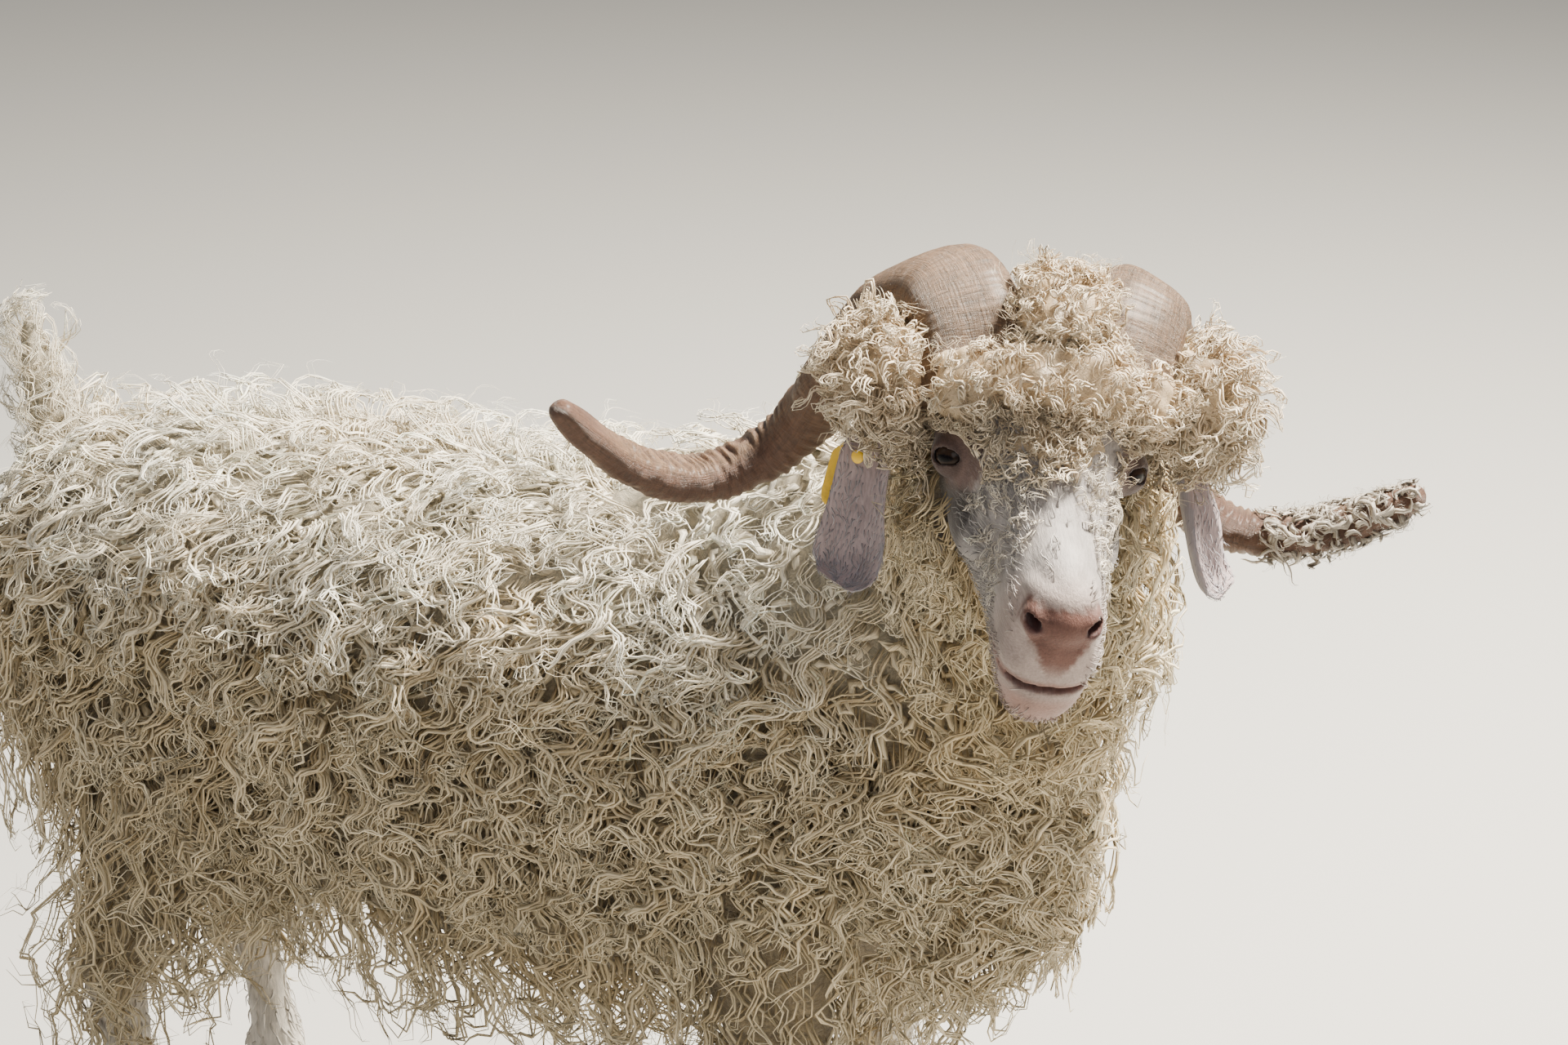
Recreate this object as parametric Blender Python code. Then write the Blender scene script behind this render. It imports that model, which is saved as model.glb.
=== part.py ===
"""A life-size still model of an Angora goat buck in full fleece, standing with its head turned aside.

Metres, +Z up. The goat faces +X, its right side is -Y, and its claws stand on Z = 0.
The flesh is modelled as a few lofts that run into each other, and is parted by thin cuts into head,
neck, torso, tail and legs. The fleece is built on it as tapered, wavy locks, fused to the part that they
grow from.
"""

import math
import random

import bmesh
import bpy
from mathutils import Matrix, Vector

# Driving dimensions of the animal, in metres
COAT_CORE = 0.022
GAP = 0.0003
UNION_EDGE = 0.0030
CUT_EDGE = 0.00004
SIDES = 12

# The head's frame: its origin is midway between the eyes, U runs forward along the mouth line,
# V to the animal's left and W up
EYES_MIDDLE = Vector((0.46, -0.22, 0.86))
HEADING = math.radians(-64)
PITCH = math.radians(17)
ROLL = math.radians(-8.5)

DOWN = Vector((0, 0, -1))
UP = Vector((0, 0, 1))
chance = random.Random(11)


def clear_scene():
    for obj in list(bpy.data.objects):
        bpy.data.objects.remove(obj)


def finish_material(name, colour, roughness, metallic=0.0):
    made = bpy.data.materials.new(name)
    made.use_nodes = True
    shader = made.node_tree.nodes["Principled BSDF"]
    shader.inputs["Base Color"].default_value = (*colour, 1)
    shader.inputs["Roughness"].default_value = roughness
    shader.inputs["Metallic"].default_value = metallic
    return made


def solid_from(made, name, collection):
    """Turns the faces of a bmesh outwards and links it as an object."""
    bmesh.ops.triangulate(made, faces=made.faces)
    made.normal_update()
    bmesh.ops.recalc_face_normals(made, faces=made.faces)
    mesh = bpy.data.meshes.new(name)
    made.to_mesh(mesh)
    made.free()
    obj = bpy.data.objects.new(name, mesh)
    collection.objects.link(obj)
    return obj


def skin_rings(made, rings):
    """Faces between rings of points, each joined to the next."""
    rows = [[made.verts.new(p) for p in ring] for ring in rings]
    count = len(rows[0])
    for low, high in zip(rows, rows[1:]):
        for i in range(count):
            j = (i + 1) % count
            made.faces.new((low[i], low[j], high[j], high[i]))
    return rows


# A limb or the trunk is a list of stations. Each has a centre, a side and an up direction, a half width,
# how far it reaches up and down from the centre, and how square it is (2 is an ellipse)
def station(centre, side, up, half_width, reach_up, reach_down, square=2.2):
    return (*centre, *side, *up, half_width, reach_up, reach_down, square)


def blend_stations(stations, t):
    """The station at t, from 0 to 1 along the list, on a smooth curve through them all."""
    last = len(stations) - 1
    place = min(max(t, 0.0), 1.0) * last
    i = min(int(place), last - 1)
    f = place - i
    four = [stations[min(max(i + k, 0), last)] for k in (-1, 0, 1, 2)]
    values = []
    for a, b, c, d in zip(*four):
        values.append(b + 0.5 * f * (c - a + f * (2 * a - 5 * b + 4 * c - d + f * (3 * (b - c) + d - a))))
    return values


def point_on(stations, t, angle, swell=0.0):
    """A point of the form at t along it, at an angle that runs from its side direction towards its up."""
    values = blend_stations(stations, t)
    centre = Vector(values[0:3])
    side, up = Vector(values[3:6]).normalized(), Vector(values[6:9]).normalized()
    half_width, reach_up, reach_down, square = values[9:13]
    c, s = math.cos(angle), math.sin(angle)
    across = math.copysign(abs(c) ** (2 / square), c) * (max(half_width, 0.001) + swell)
    reach = reach_up if s > 0 else reach_down
    height = math.copysign(abs(s) ** (2 / square), s) * (max(reach, 0.001) + swell)
    return centre + side * across + up * height


def surface(stations, t, angle, swell=0.0):
    """A point of the form and the direction that its surface faces there."""
    step = 0.02
    point = point_on(stations, t, angle, swell)
    along = point_on(stations, t + step, angle, swell) - point_on(stations, t - step, angle, swell)
    around = point_on(stations, t, angle + step, swell) - point_on(stations, t, angle - step, swell)
    normal = around.cross(along).normalized()
    outward = point - Vector(blend_stations(stations, t)[0:3])
    return point, normal if normal.dot(outward) > 0 else -normal


def ring_solid(name, rings, collection):
    """A closed skin over rings of points, with flat ends."""
    made = bmesh.new()
    rows = skin_rings(made, rings)
    made.faces.new(rows[0])
    made.faces.new(rows[-1])
    return solid_from(made, name, collection)


def loft(name, stations, collection, rows, sides=SIDES, swell=0.0, start=0.0, end=1.0):
    rings = []
    for row in range(rows):
        t = start + (end - start) * row / (rows - 1)
        rings.append([point_on(stations, t, math.tau * k / sides, swell) for k in range(sides)])
    return ring_solid(name, rings, collection)


def ellipsoid(name, centre, axes, radii, collection, segments=12, rings=8):
    """A closed egg form. axes are three directions at right angles, radii its half lengths along them."""
    made = bmesh.new()
    bmesh.ops.create_uvsphere(made, u_segments=segments, v_segments=rings, radius=1.0)
    frame = Matrix([a * r for a, r in zip(axes, radii)]).transposed().to_4x4()
    frame.translation = centre
    made.transform(frame)
    return solid_from(made, name, collection)


def half_space(name, point, normal, collection, reach=3.0):
    """A large block on the far side of a plane, as a cutter."""
    made = bmesh.new()
    bmesh.ops.create_cube(made, size=reach)
    turn = Vector(normal).to_track_quat("Z", "Y").to_matrix().to_4x4()
    made.transform(Matrix.Translation(point) @ turn @ Matrix.Translation((0, 0, reach / 2)))
    return solid_from(made, name, collection)


def drop_short_edges(made, shortest):
    """Closes up edges shorter than this, wherever the surface stays whole without them."""
    for edge in [e for e in made.edges if e.calc_length() < shortest]:
        if not edge.is_valid or edge.calc_length() >= shortest:
            continue
        a, b = edge.verts
        shared = {e.other_vert(a) for e in a.link_edges} & {e.other_vert(b) for e in b.link_edges}
        if len(shared) == 2:
            bmesh.ops.pointmerge(made, verts=[a, b], merge_co=(a.co + b.co) / 2)


def largest_surface(mesh, shortest):
    """Keeps the mesh's largest closed surface, which drops loose scraps and fills sealed hollows."""
    made = bmesh.new()
    made.from_mesh(mesh)
    bmesh.ops.triangulate(made, faces=made.faces)
    drop_short_edges(made, shortest)
    left = set(made.faces)
    islands = []
    while left:
        seed = left.pop()
        island, front = {seed}, [seed]
        while front:
            for edge in front.pop().edges:
                for face in edge.link_faces:
                    if face in left:
                        left.remove(face)
                        island.add(face)
                        front.append(face)
        islands.append(island)
    keep = max(islands, key=lambda island: sum(face.calc_area() for face in island))
    bmesh.ops.delete(made, geom=[f for f in made.faces if f not in keep], context="FACES")
    made.to_mesh(mesh)
    made.free()


def combine(obj, pieces, operation, shortest=CUT_EDGE):
    """Joins the pieces to the object, or cuts them out of it, with one Boolean on a collection."""
    if not pieces:
        return obj
    group = bpy.data.collections.new(obj.name + "_" + operation.lower())
    bpy.context.scene.collection.children.link(group)
    for piece in pieces:
        group.objects.link(piece)
    bpy.context.view_layer.update()
    join = obj.modifiers.new(operation.title(), "BOOLEAN")
    join.operation = operation
    join.operand_type = "COLLECTION"
    join.collection = group
    join.solver = "MANIFOLD"
    mesh = bpy.data.meshes.new_from_object(obj.evaluated_get(bpy.context.evaluated_depsgraph_get()))
    obj.modifiers.clear()
    obj.data = mesh
    largest_surface(mesh, shortest)
    for piece in pieces:
        bpy.data.objects.remove(piece)
    bpy.data.collections.remove(group)
    return obj


# One lock of fleece: a flat, tapered form that leaves the skin, lies over, waves and falls to a thin tip
LOCK_PLACES = (0.0, 0.26, 0.50, 0.72, 0.90)
LOCK_SHARES = (0.62, 1.00, 0.98, 0.74, 0.36)
LOCK_FLATNESS = 0.42


def lock(root, outward, lie, fall, length, width, rise, sway, collection, sink=0.018):
    """lie is the way that it sets off along the skin, and fall the way that its tip points."""
    a = root - outward * sink
    b = root + outward * rise * 1.5 + lie * length * 0.12
    c = root + outward * rise + lie * length * 0.55
    d = root + lie * length * 0.55 + fall * length * 0.48 + outward * rise * 0.4

    def middle(place):
        rest = 1 - place
        return a * rest**3 + b * 3 * rest**2 * place + c * 3 * rest * place**2 + d * place**3

    rings = []
    for place, share in zip(LOCK_PLACES, LOCK_SHARES):
        along = (middle(place + 0.05) - middle(place - 0.05)).normalized()
        side = along.cross(outward)
        side = (side if side.length > 0.05 else along.cross(lie.cross(outward))).normalized()
        out = side.cross(along)
        wave = math.tau * 0.9 * place
        bulge = abs(sway) * 0.4 * place * math.cos(wave)
        centre = middle(place) + side * sway * math.sin(wave) + out * bulge
        turn = 0.5 * math.copysign(math.cos(wave), sway)
        across = side * math.cos(turn) + out * math.sin(turn)
        through = out * math.cos(turn) - side * math.sin(turn)
        half_way = across * (width / 2 * share)
        thin_way = through * (width / 2 * share * LOCK_FLATNESS)
        rings.append([centre + half_way, centre + thin_way, centre - half_way, centre - thin_way])
    made = bmesh.new()
    rows = skin_rings(made, rings)
    made.faces.new(rows[0])
    tip = made.verts.new(d + side * sway * math.sin(math.tau * 0.9))
    for i in range(4):
        made.faces.new((rows[-1][i], rows[-1][(i + 1) % 4], tip))
    return solid_from(made, "lock", collection)


def hanging_lock(
    stations, t, angle, length, width, collection, rise=0.022, drop=0.6, lean=0.0, core=COAT_CORE
):
    """A lock rooted on a form. It sets off down the skin, leans to the form's far end and falls plumb."""
    root, outward = surface(stations, t, angle, core)
    along = (point_on(stations, t + 0.02, angle) - point_on(stations, t - 0.02, angle)).normalized()
    lie = DOWN - outward * DOWN.dot(outward) + along * (lean + chance.uniform(-0.12, 0.12))
    if outward.z < 0:
        flat = Vector((outward.x, outward.y, 0))
        outward = (flat.normalized() + outward * 0.4).normalized() if flat.length > 0.2 else outward
        lie = DOWN + along * lean
    lie.normalize()
    fall = (lie * (1 - drop) + DOWN * drop).normalized()
    sway = width * chance.choice((-1, 1)) * chance.uniform(0.18, 0.34)
    length *= chance.uniform(0.88, 1.12)
    return lock(root, outward, lie, fall, length, width * chance.uniform(0.9, 1.1), rise, sway, collection)


# Trunk, from rump to breast: place along X, height of the middle, half width, reach up and down
TRUNK_SECTIONS = (
    (-0.465, 0.590, 0.040, 0.050, 0.070),
    (-0.435, 0.575, 0.100, 0.100, 0.130),
    (-0.350, 0.548, 0.145, 0.148, 0.172),
    (-0.230, 0.530, 0.160, 0.170, 0.182),
    (-0.090, 0.515, 0.170, 0.182, 0.192),
    (0.050, 0.510, 0.168, 0.185, 0.196),
    (0.180, 0.520, 0.150, 0.180, 0.194),
    (0.280, 0.530, 0.122, 0.155, 0.175),
    (0.365, 0.525, 0.102, 0.112, 0.145),
    (0.425, 0.515, 0.050, 0.060, 0.085),
)


def trunk_stations():
    return [station((x, 0, z), (0, 1, 0), (0, 0, 1), w, u, d) for x, z, w, u, d in TRUNK_SECTIONS]


# Neck, from the shoulders to the back of the head: centre, half width, reach up and down
NECK_SECTIONS = (
    ((0.150, 0.000, 0.560), 0.122, 0.205, 0.150),
    ((0.270, -0.010, 0.625), 0.118, 0.172, 0.142),
    ((0.372, -0.040, 0.705), 0.102, 0.142, 0.128),
    ((0.410, -0.095, 0.785), 0.086, 0.108, 0.106),
    ((0.430, -0.145, 0.848), 0.068, 0.072, 0.084),
)


def neck_stations():
    centres = [Vector(c) for c, _, _, _ in NECK_SECTIONS]
    made = []
    for i, (_, w, u, d) in enumerate(NECK_SECTIONS):
        along = (centres[min(i + 1, len(centres) - 1)] - centres[max(i - 1, 0)]).normalized()
        side = UP.cross(along).normalized()
        made.append(station(centres[i], side, along.cross(side), w, u, d, 2.0))
    return made


def head_frame():
    """Columns U, V and W of the head's frame."""
    turn = Matrix.Rotation(HEADING, 3, "Z") @ Matrix.Rotation(PITCH, 3, "Y")
    turn = turn @ Matrix.Rotation(ROLL, 3, "X")
    return turn.col[0].copy(), turn.col[1].copy(), turn.col[2].copy()


HEAD_U, HEAD_V, HEAD_W = head_frame()


def in_head(u, v, w):
    return EYES_MIDDLE + HEAD_U * u + HEAD_V * v + HEAD_W * w


# Head, from poll to nose: place along U, level of the widest line, half width, top and bottom, squareness
HEAD_SECTIONS = (
    (-0.125, -0.005, 0.044, 0.040, -0.050, 2.0),
    (-0.095, 0.000, 0.060, 0.066, -0.082, 2.1),
    (-0.055, 0.002, 0.066, 0.078, -0.098, 2.2),
    (-0.020, 0.000, 0.064, 0.073, -0.100, 2.3),
    (0.015, -0.006, 0.057, 0.058, -0.094, 2.3),
    (0.045, -0.016, 0.048, 0.041, -0.090, 2.3),
    (0.075, -0.028, 0.042, 0.026, -0.091, 2.4),
    (0.100, -0.036, 0.0400, 0.016, -0.097, 2.5),
    (0.125, -0.042, 0.0405, 0.008, -0.107, 2.5),
    (0.143, -0.046, 0.0380, 0.000, -0.110, 2.5),
    (0.156, -0.048, 0.0310, -0.010, -0.103, 2.4),
    (0.164, -0.049, 0.0200, -0.022, -0.088, 2.2),
    (0.167, -0.051, 0.0100, -0.034, -0.072, 2.0),
)


def head_stations():
    made = []
    for u, level, half_width, top, bottom, square in HEAD_SECTIONS:
        made.append(
            station(in_head(u, 0, level), HEAD_V, HEAD_W, half_width, top - level, level - bottom, square)
        )
    return made


# Legs: height, place along X, half length along X and half width across, from the body down to the coronet
FORE_LEG = (
    (0.500, 0.195, 0.080, 0.046),
    (0.400, 0.212, 0.060, 0.042),
    (0.320, 0.224, 0.043, 0.036),
    (0.265, 0.230, 0.031, 0.030),
    (0.232, 0.232, 0.030, 0.029),
    (0.200, 0.230, 0.023, 0.022),
    (0.140, 0.231, 0.0185, 0.0180),
    (0.100, 0.234, 0.0220, 0.0215),
    (0.078, 0.240, 0.0205, 0.0210),
    (0.044, 0.252, 0.0270, 0.0265),
)
HIND_LEG = (
    (0.520, -0.300, 0.110, 0.052),
    (0.420, -0.292, 0.090, 0.048),
    (0.345, -0.335, 0.056, 0.038),
    (0.295, -0.378, 0.037, 0.028),
    (0.262, -0.386, 0.029, 0.024),
    (0.215, -0.380, 0.0225, 0.0210),
    (0.150, -0.368, 0.0190, 0.0185),
    (0.105, -0.360, 0.0225, 0.0220),
    (0.078, -0.353, 0.0205, 0.0210),
    (0.044, -0.340, 0.0275, 0.0265),
)
LEG_SPREAD = 0.108
KNEE_PART = 0.235
HOCK_PART = 0.272
CORONET = 0.044


def leg_stations(sections, side_sign):
    y = side_sign * LEG_SPREAD
    return [station((x, y, z), (1, 0, 0), (0, 1, 0), long, wide, wide) for z, x, long, wide in sections]


# The room that a leg and its wool take under the body: heights, middle along X, half length, half width
LEG_ROOM_TOP = 0.338
FORE_ROOM = (
    (LEG_ROOM_TOP, 0.226, 0.066, 0.060),
    (0.270, 0.228, 0.078, 0.072),
    (0.180, 0.232, 0.090, 0.084),
    (0.020, 0.240, 0.098, 0.094),
)
HIND_ROOM = (
    (LEG_ROOM_TOP, -0.335, 0.088, 0.062),
    (0.270, -0.356, 0.090, 0.072),
    (0.180, -0.366, 0.096, 0.084),
    (0.020, -0.350, 0.100, 0.094),
)


def leg_room(name, sections, side_sign, collection, swell):
    stations = leg_stations(sections, side_sign)
    raised = [(*s[:2], s[2] + (swell if i == 0 else 0), *s[3:]) for i, s in enumerate(stations)]
    return loft(name, raised, collection, rows=7, sides=14, swell=swell)


# Horns: a corkscrew that leaves the brow upwards, sweeps back, drops beside the neck and turns outwards.
# Each row is the middle (back, out, up), the wide and the narrow half axis, all in the head's level frame
HORN_SECTIONS = (
    (0.005, 0.047, 0.035, 0.038, 0.026),
    (0.030, 0.054, 0.076, 0.039, 0.027),
    (0.068, 0.067, 0.094, 0.038, 0.0265),
    (0.120, 0.090, 0.064, 0.037, 0.0255),
    (0.164, 0.113, 0.002, 0.034, 0.0240),
    (0.192, 0.142, -0.064, 0.030, 0.0220),
    (0.192, 0.186, -0.100, 0.027, 0.0205),
    (0.175, 0.226, -0.102, 0.024, 0.0185),
    (0.155, 0.264, -0.084, 0.021, 0.0165),
    (0.140, 0.294, -0.060, 0.0175, 0.0145),
    (0.130, 0.315, -0.040, 0.0110, 0.0095),
)
HORN_ROWS = 34
HORN_SIDES = 8
HORN_RIDGE = 0.0016


def level_head(back, out, up):
    """A point given in the head's frame without its pitch: back and out level with the ground."""
    forward = -back * math.cos(PITCH) - up * math.sin(PITCH)
    rise = up * math.cos(PITCH) - back * math.sin(PITCH)
    return in_head(forward, out, rise)


def horn_stations(side_sign):
    middles = [level_head(back, side_sign * out, up) for back, out, up, _, _ in HORN_SECTIONS]
    made = []
    wide = HEAD_V * side_sign
    for i, (_, _, _, wide_half, thin_half) in enumerate(HORN_SECTIONS):
        along = (middles[min(i + 1, len(middles) - 1)] - middles[max(i - 1, 0)]).normalized()
        wide = (wide - along * wide.dot(along)).normalized()
        made.append(station(middles[i], wide, along.cross(wide), wide_half, thin_half, thin_half, 2.3))
        wide = Matrix.Rotation(side_sign * math.radians(7), 3, along) @ wide
    return made


def horn(name, side_sign, collection, swell=0.0, ridge=HORN_RIDGE):
    stations = horn_stations(side_sign)
    rings = []
    for row in range(HORN_ROWS):
        t = row / (HORN_ROWS - 1)
        grown = swell + (ridge if row % 2 else 0.0) * (1 - t)
        rings.append([point_on(stations, t, math.tau * k / HORN_SIDES, grown) for k in range(HORN_SIDES)])
    root, near = (Vector(blend_stations(stations, t)[0:3]) for t in (0.0, 0.03))
    rings[0] = [p - (near - root).normalized() * swell for p in rings[0]]
    blunt, before = (Vector(blend_stations(stations, t)[0:3]) for t in (1.0, 0.97))
    end = blunt + (blunt - before).normalized() * (0.006 + swell)
    rings.append([end + (p - blunt) * 0.45 for p in rings[-1]])
    return ring_solid(name, rings, collection)


# Ears: long and hanging, a leaf of gristle with its cup turned forward. Along the ear from its root:
# drop, outward, forward, half width, thickness and depth of the cup
EAR_ROOT = (-0.054, 0.060, 0.006)
EAR_SECTIONS = (
    (0.000, -0.006, 0.000, 0.012, 0.0060, 0.000),
    (0.002, 0.024, 0.004, 0.015, 0.0050, 0.003),
    (0.014, 0.044, 0.008, 0.018, 0.0036, 0.007),
    (0.038, 0.056, 0.012, 0.020, 0.0030, 0.009),
    (0.066, 0.062, 0.016, 0.023, 0.0026, 0.009),
    (0.092, 0.066, 0.020, 0.025, 0.0023, 0.007),
    (0.111, 0.071, 0.024, 0.021, 0.0020, 0.004),
    (0.120, 0.076, 0.027, 0.011, 0.0016, 0.002),
)
EAR_COLUMNS = 5


EAR_TURN = {1: math.radians(62), -1: math.radians(34)}
FORWARD = Vector((math.cos(HEADING), math.sin(HEADING), 0))
OUTWARD = Vector((-math.sin(HEADING), math.cos(HEADING), 0))


def ear_frames(side_sign):
    """At each section of the ear: its middle, the way across it and the way that its cup faces."""
    outward = OUTWARD * side_sign
    root = in_head(EAR_ROOT[0], side_sign * EAR_ROOT[1], EAR_ROOT[2])
    middles = [root + DOWN * d + outward * o + FORWARD * f for d, o, f, _, _, _ in EAR_SECTIONS]
    turn = EAR_TURN[side_sign]
    frames = []
    for i, middle in enumerate(middles):
        along = (middles[min(i + 1, len(middles) - 1)] - middles[max(i - 1, 0)]).normalized()
        across = outward * math.cos(turn) - FORWARD * math.sin(turn)
        across = (across - along * across.dot(along)).normalized()
        facing = across.cross(along).normalized()
        frames.append((middle, across, facing if facing.dot(FORWARD) > 0 else -facing))
    return frames


def ear(name, side_sign, collection, swell=0.0):
    """A hanging leaf, cupped across its width."""
    rings = []
    frames = ear_frames(side_sign)
    for (middle, across, facing), (_, _, _, half_width, thick, cup) in zip(frames, EAR_SECTIONS):
        front, back = [], []
        for k in range(EAR_COLUMNS):
            place = 2 * k / (EAR_COLUMNS - 1) - 1
            bowl = -cup * (1 - place * place)
            spine = middle + across * (place * (half_width + swell)) + facing * bowl
            edge = (thick / 2) * (1 - 0.55 * place * place) + swell
            front.append(spine + facing * edge)
            back.append(spine - facing * edge)
        rings.append(front + back[::-1])
    made = bmesh.new()
    rows = skin_rings(made, rings)
    count = 2 * EAR_COLUMNS
    for row in (rows[0], rows[-1]):
        for k in range(EAR_COLUMNS - 1):
            made.faces.new((row[k], row[k + 1], row[count - 2 - k], row[count - 1 - k]))
    return solid_from(made, name, collection)


# Ear tags: a thin plastic flag on the back of each ear, its pin through the ear and a button in front
TAG_PLACE = 3
TAG_SHIFT = 0.006
TAG_PIN_RADIUS = 0.0019
TAG_BUTTON_RADIUS = 0.0048
TAG_FLAG = (0.040, 0.052, 0.0014)
TAG_STAND_OFF = 0.0060


def disc(name, centre, axis, radius, length, collection, sides=10):
    made = bmesh.new()
    bmesh.ops.create_cone(
        made, cap_ends=True, segments=sides, radius1=radius, radius2=radius, depth=length
    )
    turn = axis.to_track_quat("Z", "Y").to_matrix().to_4x4()
    made.transform(Matrix.Translation(centre) @ turn)
    return solid_from(made, name, collection)


def block(name, centre, axes, sizes, collection):
    made = bmesh.new()
    bmesh.ops.create_cube(made, size=1.0)
    frame = Matrix([a * s for a, s in zip(axes, sizes)]).transposed().to_4x4()
    frame.translation = centre
    made.transform(frame)
    return solid_from(made, name, collection)


def tag_frame(side_sign):
    middle, across, facing = ear_frames(side_sign)[TAG_PLACE]
    hang = across.cross(facing).normalized()
    hang = hang if hang.z < 0 else -hang
    hang = (hang - facing * 0.12).normalized()
    facing = (facing - hang * facing.dot(hang)).normalized()
    return middle + across * TAG_SHIFT, across, facing, hang


def tag_pin(name, side_sign, collection, swell=0.0):
    point, _, facing, _ = tag_frame(side_sign)
    return disc(name, point - facing * 0.004, facing, TAG_PIN_RADIUS + swell, 0.026, collection)


def tag_parts(name, side_sign, collection, swell=0.0):
    """The flag and the button, each as a separate form."""
    point, across, facing, hang = tag_frame(side_sign)
    wide, tall, thick = TAG_FLAG
    back = point - facing * (TAG_STAND_OFF + 0.009)
    flag = block(
        name + "_flag",
        back + hang * (tall / 2 - 0.006) + across * 0.008,
        (across, hang, facing),
        (wide + 2 * swell, tall + 2 * swell, thick + 2 * swell),
        collection,
    )
    front, thick = point + facing * 0.007, 0.003 + 2 * swell
    button = disc(name + "_button", front, facing, TAG_BUTTON_RADIUS + swell, thick, collection)
    return [flag, button]


# The scene: the goat's nodes in one collection, the forms that cut them in another
clear_scene()
goat = bpy.data.collections.new("angora_goat")
cutters = bpy.data.collections.new("cutters")
work = bpy.data.collections.new("work")
for group in (goat, cutters, work):
    bpy.context.scene.collection.children.link(group)


def node(name, core, pieces, cuts, look, shortest=UNION_EDGE):
    """One solid of the goat: its core, the forms fused to it and the forms cut out of it."""
    core.name = name
    for held in list(core.users_collection):
        held.objects.unlink(core)
    goat.objects.link(core)
    for piece in pieces + cuts:
        for held in list(piece.users_collection):
            held.objects.unlink(piece)
    combine(core, pieces, "UNION", shortest)
    combine(core, cuts, "DIFFERENCE")
    core.data.name = name
    core.data.materials.clear()
    core.data.materials.append(finish_material(name, *look))
    return core


FLEECE = ((0.83, 0.77, 0.66), 0.85)
SHORT_HAIR = ((0.80, 0.75, 0.69), 0.8)
HORN = ((0.42, 0.29, 0.21), 0.5)
EYE = ((0.05, 0.035, 0.025), 0.12)
CLAW = ((0.20, 0.16, 0.12), 0.55)
TAG = ((0.86, 0.55, 0.05), 0.4)

TRUNK = trunk_stations()
NECK = neck_stations()
HEAD = head_stations()
LEGS = {
    "fore_left": (leg_stations(FORE_LEG, 1), FORE_ROOM, 1, KNEE_PART),
    "fore_right": (leg_stations(FORE_LEG, -1), FORE_ROOM, -1, KNEE_PART),
    "hind_left": (leg_stations(HIND_LEG, 1), HIND_ROOM, 1, HOCK_PART),
    "hind_right": (leg_stations(HIND_LEG, -1), HIND_ROOM, -1, HOCK_PART),
}
TAIL = [
    station((-0.425, 0, 0.640), (0, 1, 0), (1, 0, 0.2), 0.034, 0.026, 0.026),
    station((-0.468, 0, 0.690), (0, 1, 0), (1, 0, 0.2), 0.030, 0.022, 0.022),
    station((-0.488, 0, 0.745), (0, 1, 0), (1, 0, 0.1), 0.026, 0.018, 0.018),
    station((-0.494, 0, 0.795), (0, 1, 0), (1, 0, 0.0), 0.014, 0.010, 0.010),
]

TAIL_ROOM = [
    station((-0.420, 0, 0.630), (0, 1, 0), (1, 0, 0.2), 0.046, 0.036, 0.036),
    station((-0.464, 0, 0.688), (0, 1, 0), (1, 0, 0.2), 0.052, 0.042, 0.042),
    station((-0.486, 0, 0.745), (0, 1, 0), (1, 0, 0.1), 0.090, 0.080, 0.080),
    station((-0.496, 0, 0.810), (0, 1, 0), (1, 0, 0.0), 0.110, 0.100, 0.100),
    station((-0.500, 0, 0.920), (0, 1, 0), (1, 0, 0.0), 0.110, 0.100, 0.100),
]

# Planes that part the neck from the torso and from the head
TORSO_FACE = Vector((0.262, 0.0, 0.50))
TORSO_NORMAL = Vector((0.962, -0.08, 0.259)).normalized()
HEAD_FACE = in_head(-0.074, 0, -0.020)
HEAD_NORMAL = (HEAD_U * math.cos(math.radians(33)) + HEAD_W * math.sin(math.radians(33))).normalized()


def horn_cuts():
    return [horn("cut", side, work, swell=GAP * 2 + HORN_RIDGE, ridge=0.0) for side in (1, -1)]


def ear_cuts():
    made = []
    for side in (1, -1):
        made.append(ear("cut", side, work, swell=GAP * 1.4))
        made += tag_parts("cut", side, work, swell=GAP * 1.4)
        made.append(tag_pin("cut", side, work, swell=GAP * 1.4))
    return made


# Torso: its core, the shoulders and thighs, and the long hanging fleece in tiers down each side
# Each tier: angle from the side towards the spine, length, width, number a side, first and last place
TORSO_TIERS = (
    (80, 0.140, 0.070, 5, 0.14, 0.80, 0.35),
    (47, 0.180, 0.068, 7, 0.10, 0.80, 0.70),
    (16, 0.200, 0.070, 7, 0.07, 0.84, 0.80),
    (-20, 0.205, 0.074, 6, 0.10, 0.82, 0.90),
)
RUMP_SPOTS = ((62, 0.16), (25, 0.17), (-20, 0.17), (118, 0.16), (155, 0.17), (200, 0.17))


def torso_locks():
    made = []
    for tier, (angle, length, width, count, first, last, drop) in enumerate(TORSO_TIERS):
        for i in range(count):
            t = first + (last - first) * (i + 0.5 * (tier % 2) * 0.8) / (count - 1 + 0.4)
            t = t + chance.uniform(-0.01, 0.01)
            for side in (1, -1):
                turned = math.radians(angle if side == 1 else 180 - angle)
                made.append(hanging_lock(TRUNK, t, turned, length, width, work, drop=drop, lean=-0.18))
    for angle, length in RUMP_SPOTS:
        made.append(hanging_lock(TRUNK, 0.055, math.radians(angle), length, 0.062, work, drop=0.7))
    return made


def leg_cores(swell, end):
    return [loft("leg", stations, work, 6, 12, swell, 0.0, end) for stations, _, _, _ in LEGS.values()]


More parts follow.
